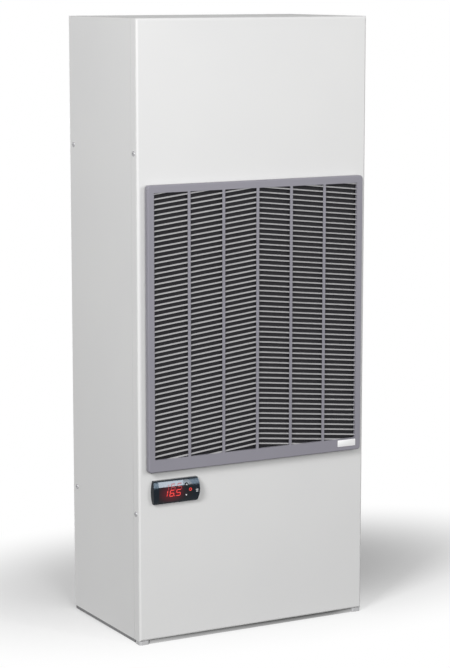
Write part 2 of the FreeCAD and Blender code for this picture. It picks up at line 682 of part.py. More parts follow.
def slat(z_middle):
    """One chevron slat: it rises to the middle of the grille and from its front to its back."""
    reach = WINDOW_HALF + FUSE_LAP
    drop = reach * math.tan(math.radians(SLAT_SLOPE))
    half = SLAT_HEIGHT / 2
    y = Y_GRILLE + SLAT_SETBACK
    outline = [(-reach, -drop - half), (0, -half), (reach, -drop - half),
               (reach, half - drop), (0, half), (-reach, half - drop)]
    return prism([vec(x, y, z_middle + dz) for x, dz in outline], vec(0, SLAT_DEPTH, SLAT_LIFT))


def grille_slats():
    """The slats that show in the window, clipped at its upper and lower edges."""
    rise = WINDOW_HALF * math.tan(math.radians(SLAT_SLOPE))
    low, high = WINDOW_LOW - FUSE_LAP, WINDOW_HIGH + FUSE_LAP
    y_range = (Y_GRILLE, Y_FRONT)
    clip = block((-GRILLE_HALF, GRILLE_HALF), y_range, (low, high))
    slats = []
    z = WINDOW_LOW + FIRST_SLAT
    while z - rise < WINDOW_HIGH:
        piece = slat(z)
        inside = piece.BoundBox.ZMin > low and piece.BoundBox.ZMax < high
        slats.append(piece if inside else piece.common(clip))
        z += SLAT_PITCH
    return slats


def grille():
    """The snap-on louvre panel: frame, skirt, badge recess, ribs and slats in one moulding."""
    heights = (GRILLE_LOW, GRILLE_HIGH)
    y_range = (Y_GRILLE, Y_FRONT - SHADOW_GAP)
    body = rounded_block((-GRILLE_HALF, GRILLE_HALF), y_range, heights, GRILLE_CORNER)
    body = body.makeFillet(GRILLE_EDGE, edges_at_y(body, Y_GRILLE))
    inside = GRILLE_HALF - GRILLE_WALL
    hollow = rounded_block((-inside, inside), (Y_FRAME, Y_FRONT),
                           (GRILLE_LOW + GRILLE_WALL, GRILLE_HIGH - GRILLE_WALL), GRILLE_CORNER / 2)
    window = block((-WINDOW_HALF, WINDOW_HALF), (Y_GRILLE - PAST, Y_FRAME + PAST), (WINDOW_LOW, WINDOW_HIGH))
    badge_right, badge_low = GRILLE_HALF - BADGE_FROM_SIDE, GRILLE_LOW + BADGE_RISE
    badge = block((badge_right - BADGE_WIDTH, badge_right), (Y_GRILLE - PAST, Y_GRILLE + BADGE_RECESS),
                  (badge_low, badge_low + BADGE_HEIGHT))
    pitch = 2 * WINDOW_HALF / COLUMNS
    ribs = []
    for i in range(1, COLUMNS):
        x = i * pitch - WINDOW_HALF
        ribs.append(block((x - RIB_WIDTH / 2, x + RIB_WIDTH / 2), (Y_GRILLE, Y_GRILLE + SLAT_SETBACK),
                          (WINDOW_LOW - FUSE_LAP, WINDOW_HIGH + FUSE_LAP)))
    frame = cut_all(body, [hollow, window, badge])
    return frame.multiFuse(ribs + grille_slats()).removeSplitter()


def grille_gasket():
    """Foam strips behind the frame that seal the air's way to the cover, with gaps for the studs."""
    y_range = (Y_FRAME, Y_FRONT)
    edge = GRILLE_HALF - GASKET_INSET
    gap = STUD_RADIUS + STUD_PLAY
    runs = ((-edge, -STUD_X - gap), (gap - STUD_X, STUD_X - gap), (STUD_X + gap, edge))
    strips = []
    for z in (STUD_LOW, STUD_HIGH):
        strips += [block(run, y_range, (z - GASKET_WIDTH / 2, z + GASKET_WIDTH / 2)) for run in runs]
    for side in (-1, 1):
        x_range = sorted((side * edge, side * (edge - GASKET_WIDTH)))
        strips.append(block(x_range, y_range, (STUD_LOW + GASKET_WIDTH / 2, STUD_HIGH - GASKET_WIDTH / 2)))
    return Part.makeCompound(strips)


def grille_studs():
    """Push-in studs that carry the grille in the cover's holes."""
    return Part.makeCompound([rod(STUD_RADIUS, vec(x, Y_FRAME, z), vec(x, Y_FRONT + STUD_LENGTH, z))
                              for x, z in STUDS])


def filter_mat():
    half = WINDOW_HALF + FILTER_LAP
    y = Y_GRILLE + SLAT_SETBACK + SLAT_DEPTH
    y = max(y, Y_FRAME) + FILTER_PLAY
    back = min(y + FILTER_THICKNESS, Y_FRONT - FILTER_PLAY)
    return block((-half, half), (y, back), (WINDOW_LOW - FILTER_LAP, WINDOW_HIGH + FILTER_LAP))


def condenser_shroud():
    """A folded box from the cover to the fan plate, with the fan's orifice and collar."""
    low, high = SHROUD_LOW, SHROUD_HIGH
    shell = tray(SHROUD_HALF, Y_SHROUD, Y_COVER_INSIDE, (low, high))
    through = (Y_SHROUD - SHEET, Y_SHROUD + ORIFICE_COLLAR)
    collar = rod(ORIFICE_RADIUS + SHEET, vec(0, through[0], FAN_Z), vec(0, through[1], FAN_Z))
    tools = [depth_hole(ORIFICE_RADIUS, 0, FAN_Z, through)]
    lines = ((HOT_LINE_RADIUS, CORE_HIGH - LINE_FROM_END), (LIQUID_LINE_RADIUS, CORE_LOW + LINE_FROM_END))
    for radius, z in lines:
        tools.append(depth_hole(radius + LINE_HOLE_PLAY, X_LINES, z, through))
    return cut_all(shell.fuse(collar), tools)


def condenser_core():
    """Flat tubes lying across the air, with the fins between them set back at the front and the rear."""
    count = int((CORE_HIGH - CORE_LOW - CORE_TUBE) / CORE_TUBE_PITCH)
    pitch = (CORE_HIGH - CORE_LOW - CORE_TUBE) / count
    front, back = [], []
    for i in range(count + 1):
        low = CORE_LOW + i * pitch
        high = low + CORE_TUBE
        if i:
            front.append((CORE_FIN_SETBACK, low))
        front += [(0, low), (0, high)]
        if i < count:
            front.append((CORE_FIN_SETBACK, high))
    back = [(CORE_DEPTH - y, z) for y, z in reversed(front)]
    outline = [vec(-CORE_HALF, Y_CORE + y, z) for y, z in front + back]
    return prism(outline, vec(2 * CORE_HALF, 0, 0))


def header_axis(side):
    return side * X_LINES, Y_HEADER


def condenser_headers():
    headers = []
    for side in (-1, 1):
        x, y = header_axis(side)
        can = rod(HEADER_RADIUS, vec(x, y, CORE_LOW), vec(x, y, CORE_HIGH))
        inside = block((-CORE_HALF, CORE_HALF), (Y_COVER_INSIDE, Y_SHROUD), (SHROUD_LOW, SHROUD_HIGH))
        headers.append(can.cut(inside))
    return Part.makeCompound(headers)


def condenser_brackets():
    """Saddles that carry the headers on the shroud's plate."""
    saddles = []
    y_range = (Y_HEADER + HEADER_RADIUS - SADDLE_WRAP, Y_SHROUD - SHEET)
    for side in (-1, 1):
        x, y = header_axis(side)
        can = rod(HEADER_RADIUS, vec(x, y, SHROUD_LOW), vec(x, y, SHROUD_HIGH))
        core = block((-CORE_HALF, CORE_HALF), (Y_CORE, Y_CORE + CORE_DEPTH), (CORE_LOW, CORE_HIGH))
        for z in (CORE_LOW + SADDLE_FROM_END, CORE_HIGH - SADDLE_FROM_END):
            saddle = block((x - SADDLE_WIDTH / 2, x + SADDLE_WIDTH / 2), y_range,
                           (z - SADDLE_HEIGHT / 2, z + SADDLE_HEIGHT / 2))
            saddles.append(saddle.cut(can).cut(core))
    return Part.makeCompound(saddles)


def fan_blade():
    """One cambered axial blade, trimmed to the fan's circle."""
    pitch = math.radians(BLADE_PITCH)
    along = vec(0, math.sin(pitch), math.cos(pitch))
    across = vec(0, math.cos(pitch), -math.sin(pitch))
    middle = vec(HUB_RADIUS / 2, Y_HUB + HUB_LENGTH / 2, FAN_Z)
    nose, tail = middle + along * (BLADE_CHORD / 2), middle - along * (BLADE_CHORD / 2)
    upper = middle + across * (BLADE_CAMBER + BLADE_THICKNESS / 2)
    lower = middle + across * (BLADE_CAMBER - BLADE_THICKNESS / 2)
    section = Part.Wire([Part.Arc(nose, upper, tail).toShape(), Part.Arc(tail, lower, nose).toShape()])
    blade = Part.Face(section).extrude(ALONG_X * FAN_RADIUS)
    return blade.common(rod(FAN_RADIUS, vec(0, Y_SHROUD, FAN_Z), vec(0, Y_MOTOR, FAN_Z)))


def condenser_fan_rotor():
    axis = vec(0, Y_HUB, FAN_Z)
    hub = rod(HUB_RADIUS, axis, axis + ALONG_Y * HUB_LENGTH)
    blade = fan_blade()
    blades = []
    for i in range(BLADES):
        copy = blade.copy()
        copy.rotate(axis, ALONG_Y, 360 * i / BLADES)
        blades.append(copy)
    bore = rod(SHAFT_RADIUS, axis - ALONG_Y, vec(0, Y_MOTOR, FAN_Z))
    return hub.multiFuse(blades).cut(bore)


def condenser_fan_shaft():
    return rod(SHAFT_RADIUS, vec(0, Y_HUB, FAN_Z), vec(0, Y_MOTOR + SHAFT_IN_MOTOR, FAN_Z))


def condenser_fan_motor():
    can = rod(MOTOR_RADIUS, vec(0, Y_MOTOR, FAN_Z), vec(0, Y_SPIDER, FAN_Z))
    bore = rod(SHAFT_RADIUS + SHAFT_PLAY, vec(0, Y_MOTOR - PAST, FAN_Z),
               vec(0, Y_MOTOR + SHAFT_IN_MOTOR + SHAFT_RADIUS, FAN_Z))
    return can.cut(bore)


def condenser_motor_bracket():
    """A spider behind the motor, on legs that stand on the shroud outside its collar."""
    leg_in = ORIFICE_RADIUS + SHEET + SPIDER_LEG_GAP
    leg_out = leg_in + SPIDER_SHEET
    half = SPIDER_WIDTH / 2
    plate = rod(MOTOR_RADIUS, vec(0, Y_SPIDER, FAN_Z), vec(0, Y_SPIDER + SPIDER_SHEET, FAN_Z))
    arms = []
    for i in range(SPIDER_ARMS):
        arm = block((0, leg_out), (Y_SPIDER, Y_SPIDER + SPIDER_SHEET), (FAN_Z - half, FAN_Z + half))
        leg = block((leg_in, leg_out), (Y_SHROUD, Y_SPIDER), (FAN_Z - half, FAN_Z + half))
        for piece in (arm, leg):
            piece.rotate(vec(0, 0, FAN_Z), ALONG_Y, 360 * (i + 0.5) / SPIDER_ARMS)
            arms.append(piece)
    return plate.multiFuse(arms).removeSplitter()


def partition_wall():
    return block((-SHROUD_HALF, SHROUD_HALF), (Y_PARTITION, Y_CHAMBER), (Z_CHAMBER + SHEET, Z_SHELF))


def chamber_shelf():
    y_flange = Y_PARTITION - SHEET
    z_high = Z_SHELF + SHEET
    outline = [(Y_COVER_INSIDE, Z_SHELF), (y_flange, Z_SHELF), (y_flange, Z_SHELF - WALL_FLANGE),
               (Y_PARTITION, Z_SHELF - WALL_FLANGE), (Y_PARTITION, Z_SHELF), (Y_CHAMBER, Z_SHELF),
               (Y_CHAMBER, z_high), (Y_COVER_INSIDE, z_high)]
    return prism([vec(-SHROUD_HALF, y, z) for y, z in outline], vec(2 * SHROUD_HALF, 0, 0))


def chamber_floor():
    y_flange = Y_PARTITION - SHEET
    z_high = Z_CHAMBER + SHEET
    outline = [(y_flange, Z_CHAMBER), (Y_REAR_INSIDE, Z_CHAMBER), (Y_REAR_INSIDE, z_high),
               (Y_PARTITION, z_high), (Y_PARTITION, Z_CHAMBER + WALL_FLANGE),
               (y_flange, Z_CHAMBER + WALL_FLANGE)]
    sheet = prism([vec(-SHROUD_HALF, y, z) for y, z in outline], vec(2 * SHROUD_HALF, 0, 0))
    rear_corners = [e for e in edges_along(sheet, ALONG_Z) if abs(e.BoundBox.YMax - Y_REAR_INSIDE) < 1e-6]
    sheet = sheet.makeChamfer(BEND, rear_corners)
    tools = []
    holes = ((X_LINES, COIL_ROWS[0], CAPILLARY_RADIUS + LINE_HOLE_PLAY),
             (X_LINES, COIL_ROWS[1], COLD_LINE_RADIUS + LINE_HOLE_PLAY),
             (DRAIN_X, Y_DRAIN, HOSE_RADIUS + PANEL_GAP))
    for x, y, radius in holes:
        tools.append(rod(radius, vec(x, y, Z_CHAMBER - PAST), vec(x, y, z_high + PAST)))
    return cut_all(sheet, tools)


def condensate_tray():
    half = COIL_HALF + COIL_PLATE
    low, high = Z_CHAMBER + SHEET, Z_CHAMBER + SHEET + TRAY_DEPTH
    y_range = (Y_CHAMBER + TRAY_PLAY, Y_REAR_INSIDE - TRAY_PLAY)
    pan = block((-half, half), y_range, (low, high))
    hollow = block((TRAY_WALL - half, half - TRAY_WALL), (y_range[0] + TRAY_WALL, y_range[1] - TRAY_WALL),
                   (low + TRAY_WALL, high + PAST))
    drain = rod(HOSE_BORE, vec(DRAIN_X, Y_DRAIN, low - PAST), vec(DRAIN_X, Y_DRAIN, high))
    return pan.cut(hollow).cut(drain)


def drain_hose():
    """The hose from the tray's underside, through the chamber floor, to the drain fitting."""
    low, high = vec(DRAIN_X, Y_DRAIN, Z_PAN + DRAIN_RISE), vec(DRAIN_X, Y_DRAIN, Z_CHAMBER + SHEET)
    return rod(HOSE_RADIUS, low, high).cut(rod(HOSE_BORE, low - ALONG_Z, high + ALONG_Z))


def drain_fitting():
    under = -DRAIN_FLANGE_THICKNESS
    profile = [(DRAIN_BORE, under), (DRAIN_FLANGE, under), (DRAIN_FLANGE, 0), (DRAIN_BODY, 0),
               (DRAIN_BODY, SHEET + DRAIN_RISE), (DRAIN_BORE, SHEET + DRAIN_RISE)]
    return turned(profile, vec(DRAIN_X, Y_DRAIN, Z_FLOOR), ALONG_Z)


def evaporator_fins():
    """Upright fins above and below the unbroken middle of the block, open to air that falls through."""
    half_depth = (Y_REAR_INSIDE - Y_CHAMBER) / 2 - COIL_PLAY
    pitch = 2 * COIL_HALF / (COIL_FINS - 1 + COIL_FIN_SHARE)
    fin = pitch * COIL_FIN_SHARE
    middle = (COIL_LOW + COIL_HIGH) / 2
    upper = []
    for i in range(COIL_FINS):
        x = i * pitch - COIL_HALF
        if i:
            upper.append((x, COIL_CORE / 2))
        upper += [(x, COIL_HEIGHT / 2), (x + fin, COIL_HEIGHT / 2)]
        if i < COIL_FINS - 1:
            upper.append((x + fin, COIL_CORE / 2))
    lower = [(x, -z) for x, z in reversed(upper)]
    outline = [vec(x, Y_DUCT - half_depth, middle + z) for x, z in upper + lower]
    return prism(outline, vec(0, 2 * half_depth, 0))


def coil_place(side, row, tube, out):
    """A point on a coil tube's axis, a distance out from the end plate."""
    return vec(side * (COIL_HALF + COIL_PLATE + out), COIL_ROWS[row], COIL_TUBES[tube])


def evaporator_end_plates():
    plates = []
    y_range = (Y_CHAMBER, Y_REAR_INSIDE)
    for side in (-1, 1):
        x_range = sorted((side * COIL_HALF, side * (COIL_HALF + COIL_PLATE)))
        plates.append(block(x_range, y_range, (COIL_LOW, COIL_HIGH)))
    return Part.makeCompound(plates)


def return_bend(start, end, side):
    """A half-round copper bend between two tubes on one end plate."""
    bend = start.distanceToPoint(end) / 2
    out = ALONG_X * (side * (COIL_STUB + bend))
    return bent_tube([start, start + out, end + out, end], COIL_TUBE_RADIUS, bend)


def evaporator_return_bends():
    bends = [return_bend(coil_place(-1, row, 0, 0), coil_place(-1, row, 1, 0), -1) for row in (0, 1)]
    bends.append(return_bend(coil_place(1, 0, 1, 0), coil_place(1, 1, 1, 0), 1))
    return Part.makeCompound(bends)


def evaporator_inlet_ring():
    """A spun nozzle behind the rear plate's round opening."""
    outer = INTAKE_RADIUS + INLET_FLANGE
    throat = INLET_THROAT + INLET_SHEET
    profile = [(INTAKE_RADIUS, 0), (outer, 0), (outer, -INLET_SHEET), (INTAKE_RADIUS, -INLET_SHEET),
               (throat, INLET_LIP - INLET_DEPTH), (throat, -INLET_DEPTH), (INLET_THROAT, -INLET_DEPTH),
               (INLET_THROAT, INLET_LIP - INLET_DEPTH)]
    return turned(profile, vec(0, Y_REAR_INSIDE, BLOWER_Z), ALONG_Y)


def impeller_blade():
    """A backward-curved blade between the back disc and the front ring."""
    eye = INLET_THROAT + INLET_SHEET + IMPELLER_EYE_GAP
    y = Y_IMPELLER_BACK + IMPELLER_DISC

    def place(radius, degrees):
        turn = math.radians(degrees)
        return vec(radius * math.cos(turn), y, BLOWER_Z + radius * math.sin(turn))

    thick = math.degrees(IMPELLER_BLADE / eye)
    middle = (eye + IMPELLER_RADIUS) / 2
    bow = IMPELLER_SWEEP * 0.42
    front = Part.Arc(place(eye, 0), place(middle, bow), place(IMPELLER_RADIUS, IMPELLER_SWEEP)).toShape()
    back = Part.Arc(place(IMPELLER_RADIUS, IMPELLER_SWEEP + thick), place(middle, bow + thick),
                    place(eye, thick)).toShape()
    tip = Part.makeLine(front.Vertexes[-1].Point, back.Vertexes[0].Point)
    root = Part.makeLine(back.Vertexes[-1].Point, front.Vertexes[0].Point)
    return Part.Face(Part.Wire([front, tip, back, root])).extrude(vec(0, IMPELLER_WIDTH, 0))


def evaporator_impeller():
    axis = vec(0, Y_IMPELLER_BACK, BLOWER_Z)
    eye = INLET_THROAT + INLET_SHEET + IMPELLER_EYE_GAP
    disc = rod(IMPELLER_RADIUS, axis, axis + ALONG_Y * IMPELLER_DISC)
    boss = rod(IMPELLER_BOSS, axis, axis + ALONG_Y * IMPELLER_BOSS_LENGTH)
    y_ring = axis + ALONG_Y * (IMPELLER_DISC + IMPELLER_WIDTH)
    ring = rod(IMPELLER_RADIUS, y_ring, y_ring + ALONG_Y * IMPELLER_DISC)
    ring = ring.cut(rod(eye, y_ring - ALONG_Y, y_ring + ALONG_Y * (IMPELLER_DISC + PAST)))
    blade = impeller_blade()
    blades = []
    for i in range(IMPELLER_BLADES):
        copy = blade.copy()
        copy.rotate(axis, ALONG_Y, 360 * i / IMPELLER_BLADES)
        blades.append(copy)
    wheel = disc.multiFuse([boss, ring] + blades).removeSplitter()
    return wheel.cut(rod(SHAFT_RADIUS, axis - ALONG_Y, axis + ALONG_Y * (IMPELLER_BOSS_LENGTH + PAST)))


def evaporator_fan_shaft():
    start = vec(0, Y_BLOWER_MOTOR - SHAFT_IN_MOTOR, BLOWER_Z)
    return rod(SHAFT_RADIUS, start, vec(0, Y_IMPELLER_BACK + IMPELLER_BOSS_LENGTH, BLOWER_Z))


def evaporator_fan_motor():
    can = rod(BLOWER_MOTOR_RADIUS, vec(0, Y_BRACKET, BLOWER_Z), vec(0, Y_BLOWER_MOTOR, BLOWER_Z))
    bore = rod(SHAFT_RADIUS + SHAFT_PLAY, vec(0, Y_BLOWER_MOTOR - SHAFT_IN_MOTOR - SHAFT_RADIUS, BLOWER_Z),
               vec(0, Y_BLOWER_MOTOR + PAST, BLOWER_Z))
    return can.cut(bore)


def evaporator_motor_bracket():
    y_front = Y_BRACKET - BRACKET_SHEET
    low = Z_SHELF + SHEET
    high = BLOWER_Z + BRACKET_ABOVE_AXIS
    outline = [(Y_BRACKET, low), (Y_BRACKET, high), (y_front, high),
               (y_front, low + BRACKET_SHEET), (y_front - BRACKET_FOOT, low + BRACKET_SHEET),
               (y_front - BRACKET_FOOT, low)]
    return prism([vec(-BRACKET_WIDTH / 2, y, z) for y, z in outline], vec(BRACKET_WIDTH, 0, 0))


def compressor_feet():
    centre = vec(COMPRESSOR_X, Y_MIDDLE, Z_PAN)
    return spread(GROMMETS, centre, GROMMET_CIRCLE, 90)


def compressor_grommets():
    rise = ALONG_Z * GROMMET_HEIGHT_UNDER_PLATE
    return Part.makeCompound([rod(GROMMET_RADIUS, foot, foot + rise) for foot in compressor_feet()])


def compressor_base_plate():
    low = COMPRESSOR_LOW - FOOT_PLATE
    centre = vec(COMPRESSOR_X, Y_MIDDLE, low)
    plate = rod(COMPRESSOR_RADIUS, centre, centre + ALONG_Z * FOOT_PLATE)
    half = FOOT_PLATE_ARM / 2
    arms = []
    for i, foot in enumerate(compressor_feet()):
        arm = block((COMPRESSOR_X, COMPRESSOR_X + GROMMET_CIRCLE), (Y_MIDDLE - half, Y_MIDDLE + half),
                    (low, COMPRESSOR_LOW))
        arm.rotate(centre, ALONG_Z, 90 + 360 * i / GROMMETS)
        start = vec(foot.x, foot.y, low)
        arms += [arm, rod(half, start, start + ALONG_Z * FOOT_PLATE)]
    return plate.multiFuse(arms).removeSplitter()


def compressor_shell():
    low = vec(COMPRESSOR_X, Y_MIDDLE, COMPRESSOR_LOW)
    can = chamfered_rod(COMPRESSOR_RADIUS, COMPRESSOR_CHAMFER, low, low + ALONG_Z * COMPRESSOR_HEIGHT)
    stub = vec(COMPRESSOR_X + STUB_OFFSET, Y_MIDDLE, COMPRESSOR_HIGH)
    return can.fuse(rod(HOT_LINE_RADIUS, stub - ALONG_Z, stub + ALONG_Z * COMPRESSOR_STUB))


def compressor_terminal_cover():
    width, depth, height = TERMINAL_COVER
    x = COMPRESSOR_X - TERMINAL_OFFSET
    cover = block((x - width / 2, x + width / 2), (Y_MIDDLE - depth / 2, Y_MIDDLE + depth / 2),
                  (COMPRESSOR_HIGH, COMPRESSOR_HIGH + height))
    return cover.makeFillet(height / 4, edges_along(cover, ALONG_Z))


def suction_accumulator():
    low = vec(ACCUMULATOR_X, Y_MIDDLE, ACCUMULATOR_LOW)
    can = chamfered_rod(ACCUMULATOR_RADIUS, ACCUMULATOR_CHAMFER, low, low + ALONG_Z * ACCUMULATOR_HEIGHT)
    elbow = vec(ACCUMULATOR_X, Y_MIDDLE, ACCUMULATOR_LOW - ACCUMULATOR_DROP)
    wall = vec(COMPRESSOR_X - COMPRESSOR_RADIUS, Y_MIDDLE, elbow.z)
    return can.fuse(bent_tube([low + ALONG_Z, elbow, wall], COLD_LINE_RADIUS, LINE_BEND))


def discharge_line():
    z_header = CORE_HIGH - LINE_FROM_END
    start = vec(COMPRESSOR_X + STUB_OFFSET, Y_MIDDLE, COMPRESSOR_HIGH + COMPRESSOR_STUB)
    route = [start, vec(start.x, Y_MIDDLE, HOT_LINE_Z), vec(X_LINES, Y_MIDDLE, HOT_LINE_Z),
             vec(X_LINES, Y_MIDDLE, z_header), vec(X_LINES, Y_HEADER + HEADER_RADIUS, z_header)]
    return bent_tube(route, HOT_LINE_RADIUS, LINE_BEND)


def liquid_line():
    z_header = CORE_LOW + LINE_FROM_END
    route = [vec(X_LINES, Y_HEADER + HEADER_RADIUS, z_header), vec(X_LINES, Y_DRIER, z_header),
             vec(X_LINES, Y_DRIER, DRIER_HIGH)]
    return bent_tube(route, LIQUID_LINE_RADIUS, LINE_BEND)


def filter_drier():
    return chamfered_rod(DRIER_RADIUS, DRIER_CHAMFER, vec(X_LINES, Y_DRIER, DRIER_LOW),
                         vec(X_LINES, Y_DRIER, DRIER_HIGH))


def capillary_tube():
    z_low = DRIER_LOW - CAPILLARY_DROP
    y, z = COIL_ROWS[0], COIL_TUBES[0]
    route = [vec(X_LINES, Y_DRIER, DRIER_LOW), vec(X_LINES, Y_DRIER, z_low), vec(X_LINES, y, z_low),
             vec(X_LINES, y, z), coil_place(1, 0, 0, 0)]
    return bent_tube(route, CAPILLARY_RADIUS, LINE_BEND)


def suction_line():
    y, z = COIL_ROWS[1], COIL_TUBES[0]
    route = [coil_place(1, 1, 0, 0), vec(X_LINES, y, z), vec(X_LINES, y, COLD_LINE_Z),
             vec(ACCUMULATOR_X, y, COLD_LINE_Z), vec(ACCUMULATOR_X, Y_MIDDLE, COLD_LINE_Z),
             vec(ACCUMULATOR_X, Y_MIDDLE, ACCUMULATOR_HIGH)]
    return bent_tube(route, COLD_LINE_RADIUS, LINE_BEND)


def pressure_switch():
    """The high-pressure cut-out, seated on the level run of the discharge line."""
    x = (COMPRESSOR_X + STUB_OFFSET + X_LINES) / 2
    start = vec(x, Y_MIDDLE, HOT_LINE_Z)
    body = rod(SWITCH_RADIUS, start, start + ALONG_Z * (HOT_LINE_RADIUS + SWITCH_HEIGHT))
    line = rod(HOT_LINE_RADIUS, start - ALONG_X * 2 * SWITCH_RADIUS, start + ALONG_X * 2 * SWITCH_RADIUS)
    return body.cut(line)


def electrical_box():
    x_range, z_range = (BOX_LEFT, BOX_RIGHT), (Z_PAN, Z_PAN + BOX_HEIGHT)
    outer = block(x_range, (Y_BOX, Y_BOX + BOX_DEPTH), z_range)
    y_back = Y_BOX + BOX_DEPTH - BOX_WALL
    hollow = block((x_range[0] + BOX_WALL, x_range[1] - BOX_WALL), (Y_BOX - PAST, y_back),
                   (z_range[0] + BOX_WALL, z_range[1] - BOX_WALL))
    x, z = grommet_place()
    hole = depth_hole(GROMMET_BORE + GROMMET_WALL, x, z, (y_back, Y_BOX + BOX_DEPTH))
    return outer.cut(hollow).cut(hole)


def electrical_box_lid():
    low, high = Z_PAN, Z_PAN + BOX_HEIGHT
    plate = block((BOX_LEFT, BOX_RIGHT), (Y_BOX - BOX_WALL, Y_BOX), (low, high))
    inset = BOX_WALL + BOX_PLAY
    rim = block((BOX_LEFT + inset, BOX_RIGHT - inset), (Y_BOX, Y_BOX + BOX_LID_RIM),
                (low + inset, high - inset))
    inset += BOX_WALL
    hollow = block((BOX_LEFT + inset, BOX_RIGHT - inset), (Y_BOX, Y_BOX + BOX_LID_RIM + PAST),
                   (low + inset, high - inset))
    return plate.fuse(rim.cut(hollow)).removeSplitter()


def terminal_strip():
    """A row of screw terminals on the back wall of the electrical box."""
    left, right = BOX_LEFT + STRIP_MARGIN, BOX_RIGHT - STRIP_MARGIN
    back = Y_BOX + BOX_DEPTH - BOX_WALL
    front = back - STRIP_DEPTH
    low = Z_PAN + STRIP_RISE
    strip = block((left, right), (front, back), (low, low + STRIP_HEIGHT))
    pitch = (right - left) / STRIP_POLES
    notch = pitch * STRIP_NOTCH
    tools = []
    for i in range(STRIP_POLES):
        x = left + (i + 0.5) * pitch - notch / 2
        tools.append(block((x, x + notch), (front - PAST, front + STRIP_NOTCH_DEPTH),
                           (low + STRIP_HEIGHT / 4, low + 3 * STRIP_HEIGHT / 4)))
    return cut_all(strip, tools)


def run_capacitor():
    foot = vec(BOX_RIGHT - BOX_WALL - CAPACITOR_RADIUS - BOX_LID_RIM, Y_BOX + BOX_DEPTH / 2, Z_PAN + BOX_WALL)
    return rod(CAPACITOR_RADIUS, foot, foot + ALONG_Z * CAPACITOR_HEIGHT)


def bowed_outline(left, right, half_height, left_bulge, right_bulge):
    """An outline with level upper and lower edges and ends that bow outwards, across Y."""
    def place(x, z):
        return vec(THERMOSTAT_X + x, Y_FRONT - 2 * BEZEL_PROUD, THERMOSTAT_Z + z)

    high_left, high_right = place(left, half_height), place(right, half_height)
    low_left, low_right = place(left, -half_height), place(right, -half_height)
    top = Part.makeLine(high_left, high_right)
    end = Part.Arc(high_right, place(right + right_bulge, 0), low_right).toShape()
    bottom = Part.makeLine(low_right, low_left)
    if left_bulge:
        start = Part.Arc(low_left, place(left - left_bulge, 0), high_left).toShape()
    else:
        start = Part.makeLine(low_left, high_left)
    return Part.Face(Part.Wire([top, end, bottom, start])).extrude(vec(0, 3 * BEZEL_PROUD, 0))


def bezel_blank():
    """The bezel before anything is set into it: bowed to the front and at both ends."""
    half_width, half_height = BEZEL_WIDTH / 2, BEZEL_HEIGHT / 2
    x = THERMOSTAT_X - half_width

    def place(y, z):
        return vec(x, Y_FRONT - y, THERMOSTAT_Z + z)

    low, high = place(BEZEL_EDGE, -half_height), place(BEZEL_EDGE, half_height)
    face = Part.Arc(low, place(BEZEL_PROUD, 0), high).toShape()
    sides = Part.makePolygon([high, place(0, half_height), place(0, -half_height), low])
    bar = Part.Face(Part.Wire([face] + sides.Edges)).extrude(vec(BEZEL_WIDTH, 0, 0))
    end = half_width - BEZEL_BULGE
    return bar.common(bowed_outline(-end, end, half_height, BEZEL_BULGE, BEZEL_BULGE))


def button_face(z_offset):
    """Y of the bezel's bowed front at a height above its middle."""
    half, bow = BEZEL_HEIGHT / 2, BEZEL_PROUD - BEZEL_EDGE
    radius = (half * half + bow * bow) / (2 * bow)
    return Y_FRONT - BEZEL_PROUD + radius - math.sqrt(radius * radius - z_offset * z_offset)


def button_wells():
    wells = []
    for x, z in BUTTONS.values():
        place = vec(THERMOSTAT_X + x, Y_FRONT - BUTTON_FLOOR, THERMOSTAT_Z + z)
        wells.append(rod(BUTTON_RADIUS + BUTTON_PLAY, place, place - ALONG_Y * BEZEL_PROUD))
    return wells


def lens_blank():
    """The display window before its button holes, as thick as the lens all over."""
    half_height = BEZEL_HEIGHT / 2 - LENS_MARGIN
    left = LENS_LEFT - BEZEL_WIDTH / 2
    right = BEZEL_WIDTH / 2 - LENS_RIGHT - half_height / 2
    blank = bezel_blank()
    behind = blank.copy()
    behind.translate(vec(0, LENS_THICKNESS, 0))
    return blank.common(bowed_outline(left, right, half_height, 0, half_height / 2)).cut(behind)


def thermostat_bezel():
    return cut_all(bezel_blank().cut(lens_blank()), button_wells())


def thermostat_lens():
    return cut_all(lens_blank(), button_wells())


def thermostat_button(name):
    x, z = BUTTONS[name]
    front = vec(THERMOSTAT_X + x, button_face(z) - BUTTON_PROUD, THERMOSTAT_Z + z)
    back = vec(front.x, Y_FRONT - BUTTON_FLOOR - BUTTON_TRAVEL - BUTTON_ROOM, front.z)
    return rod(BUTTON_RADIUS, front, back)


def thermostat_case():
    half, rise = CASE_WIDTH / 2, CASE_HEIGHT / 2
    return block((THERMOSTAT_X - half, THERMOSTAT_X + half), (Y_FRONT, Y_FRONT + CASE_DEPTH),
                 (THERMOSTAT_Z - rise, THERMOSTAT_Z + rise))


def thermostat_clips():
    """Clamps on the case's sides that hold it against the cover from behind."""
    width, length, height = CLIP_SIZE
    y = Y_FRONT + SHEET
    clips = []
    for side in (-1, 1):
        inner = THERMOSTAT_X + side * CASE_WIDTH / 2
        x_range = sorted((inner, inner + side * width))
        clips.append(block(x_range, (y, y + length), (THERMOSTAT_Z - height / 2, THERMOSTAT_Z + height / 2)))
    return Part.makeCompound(clips)


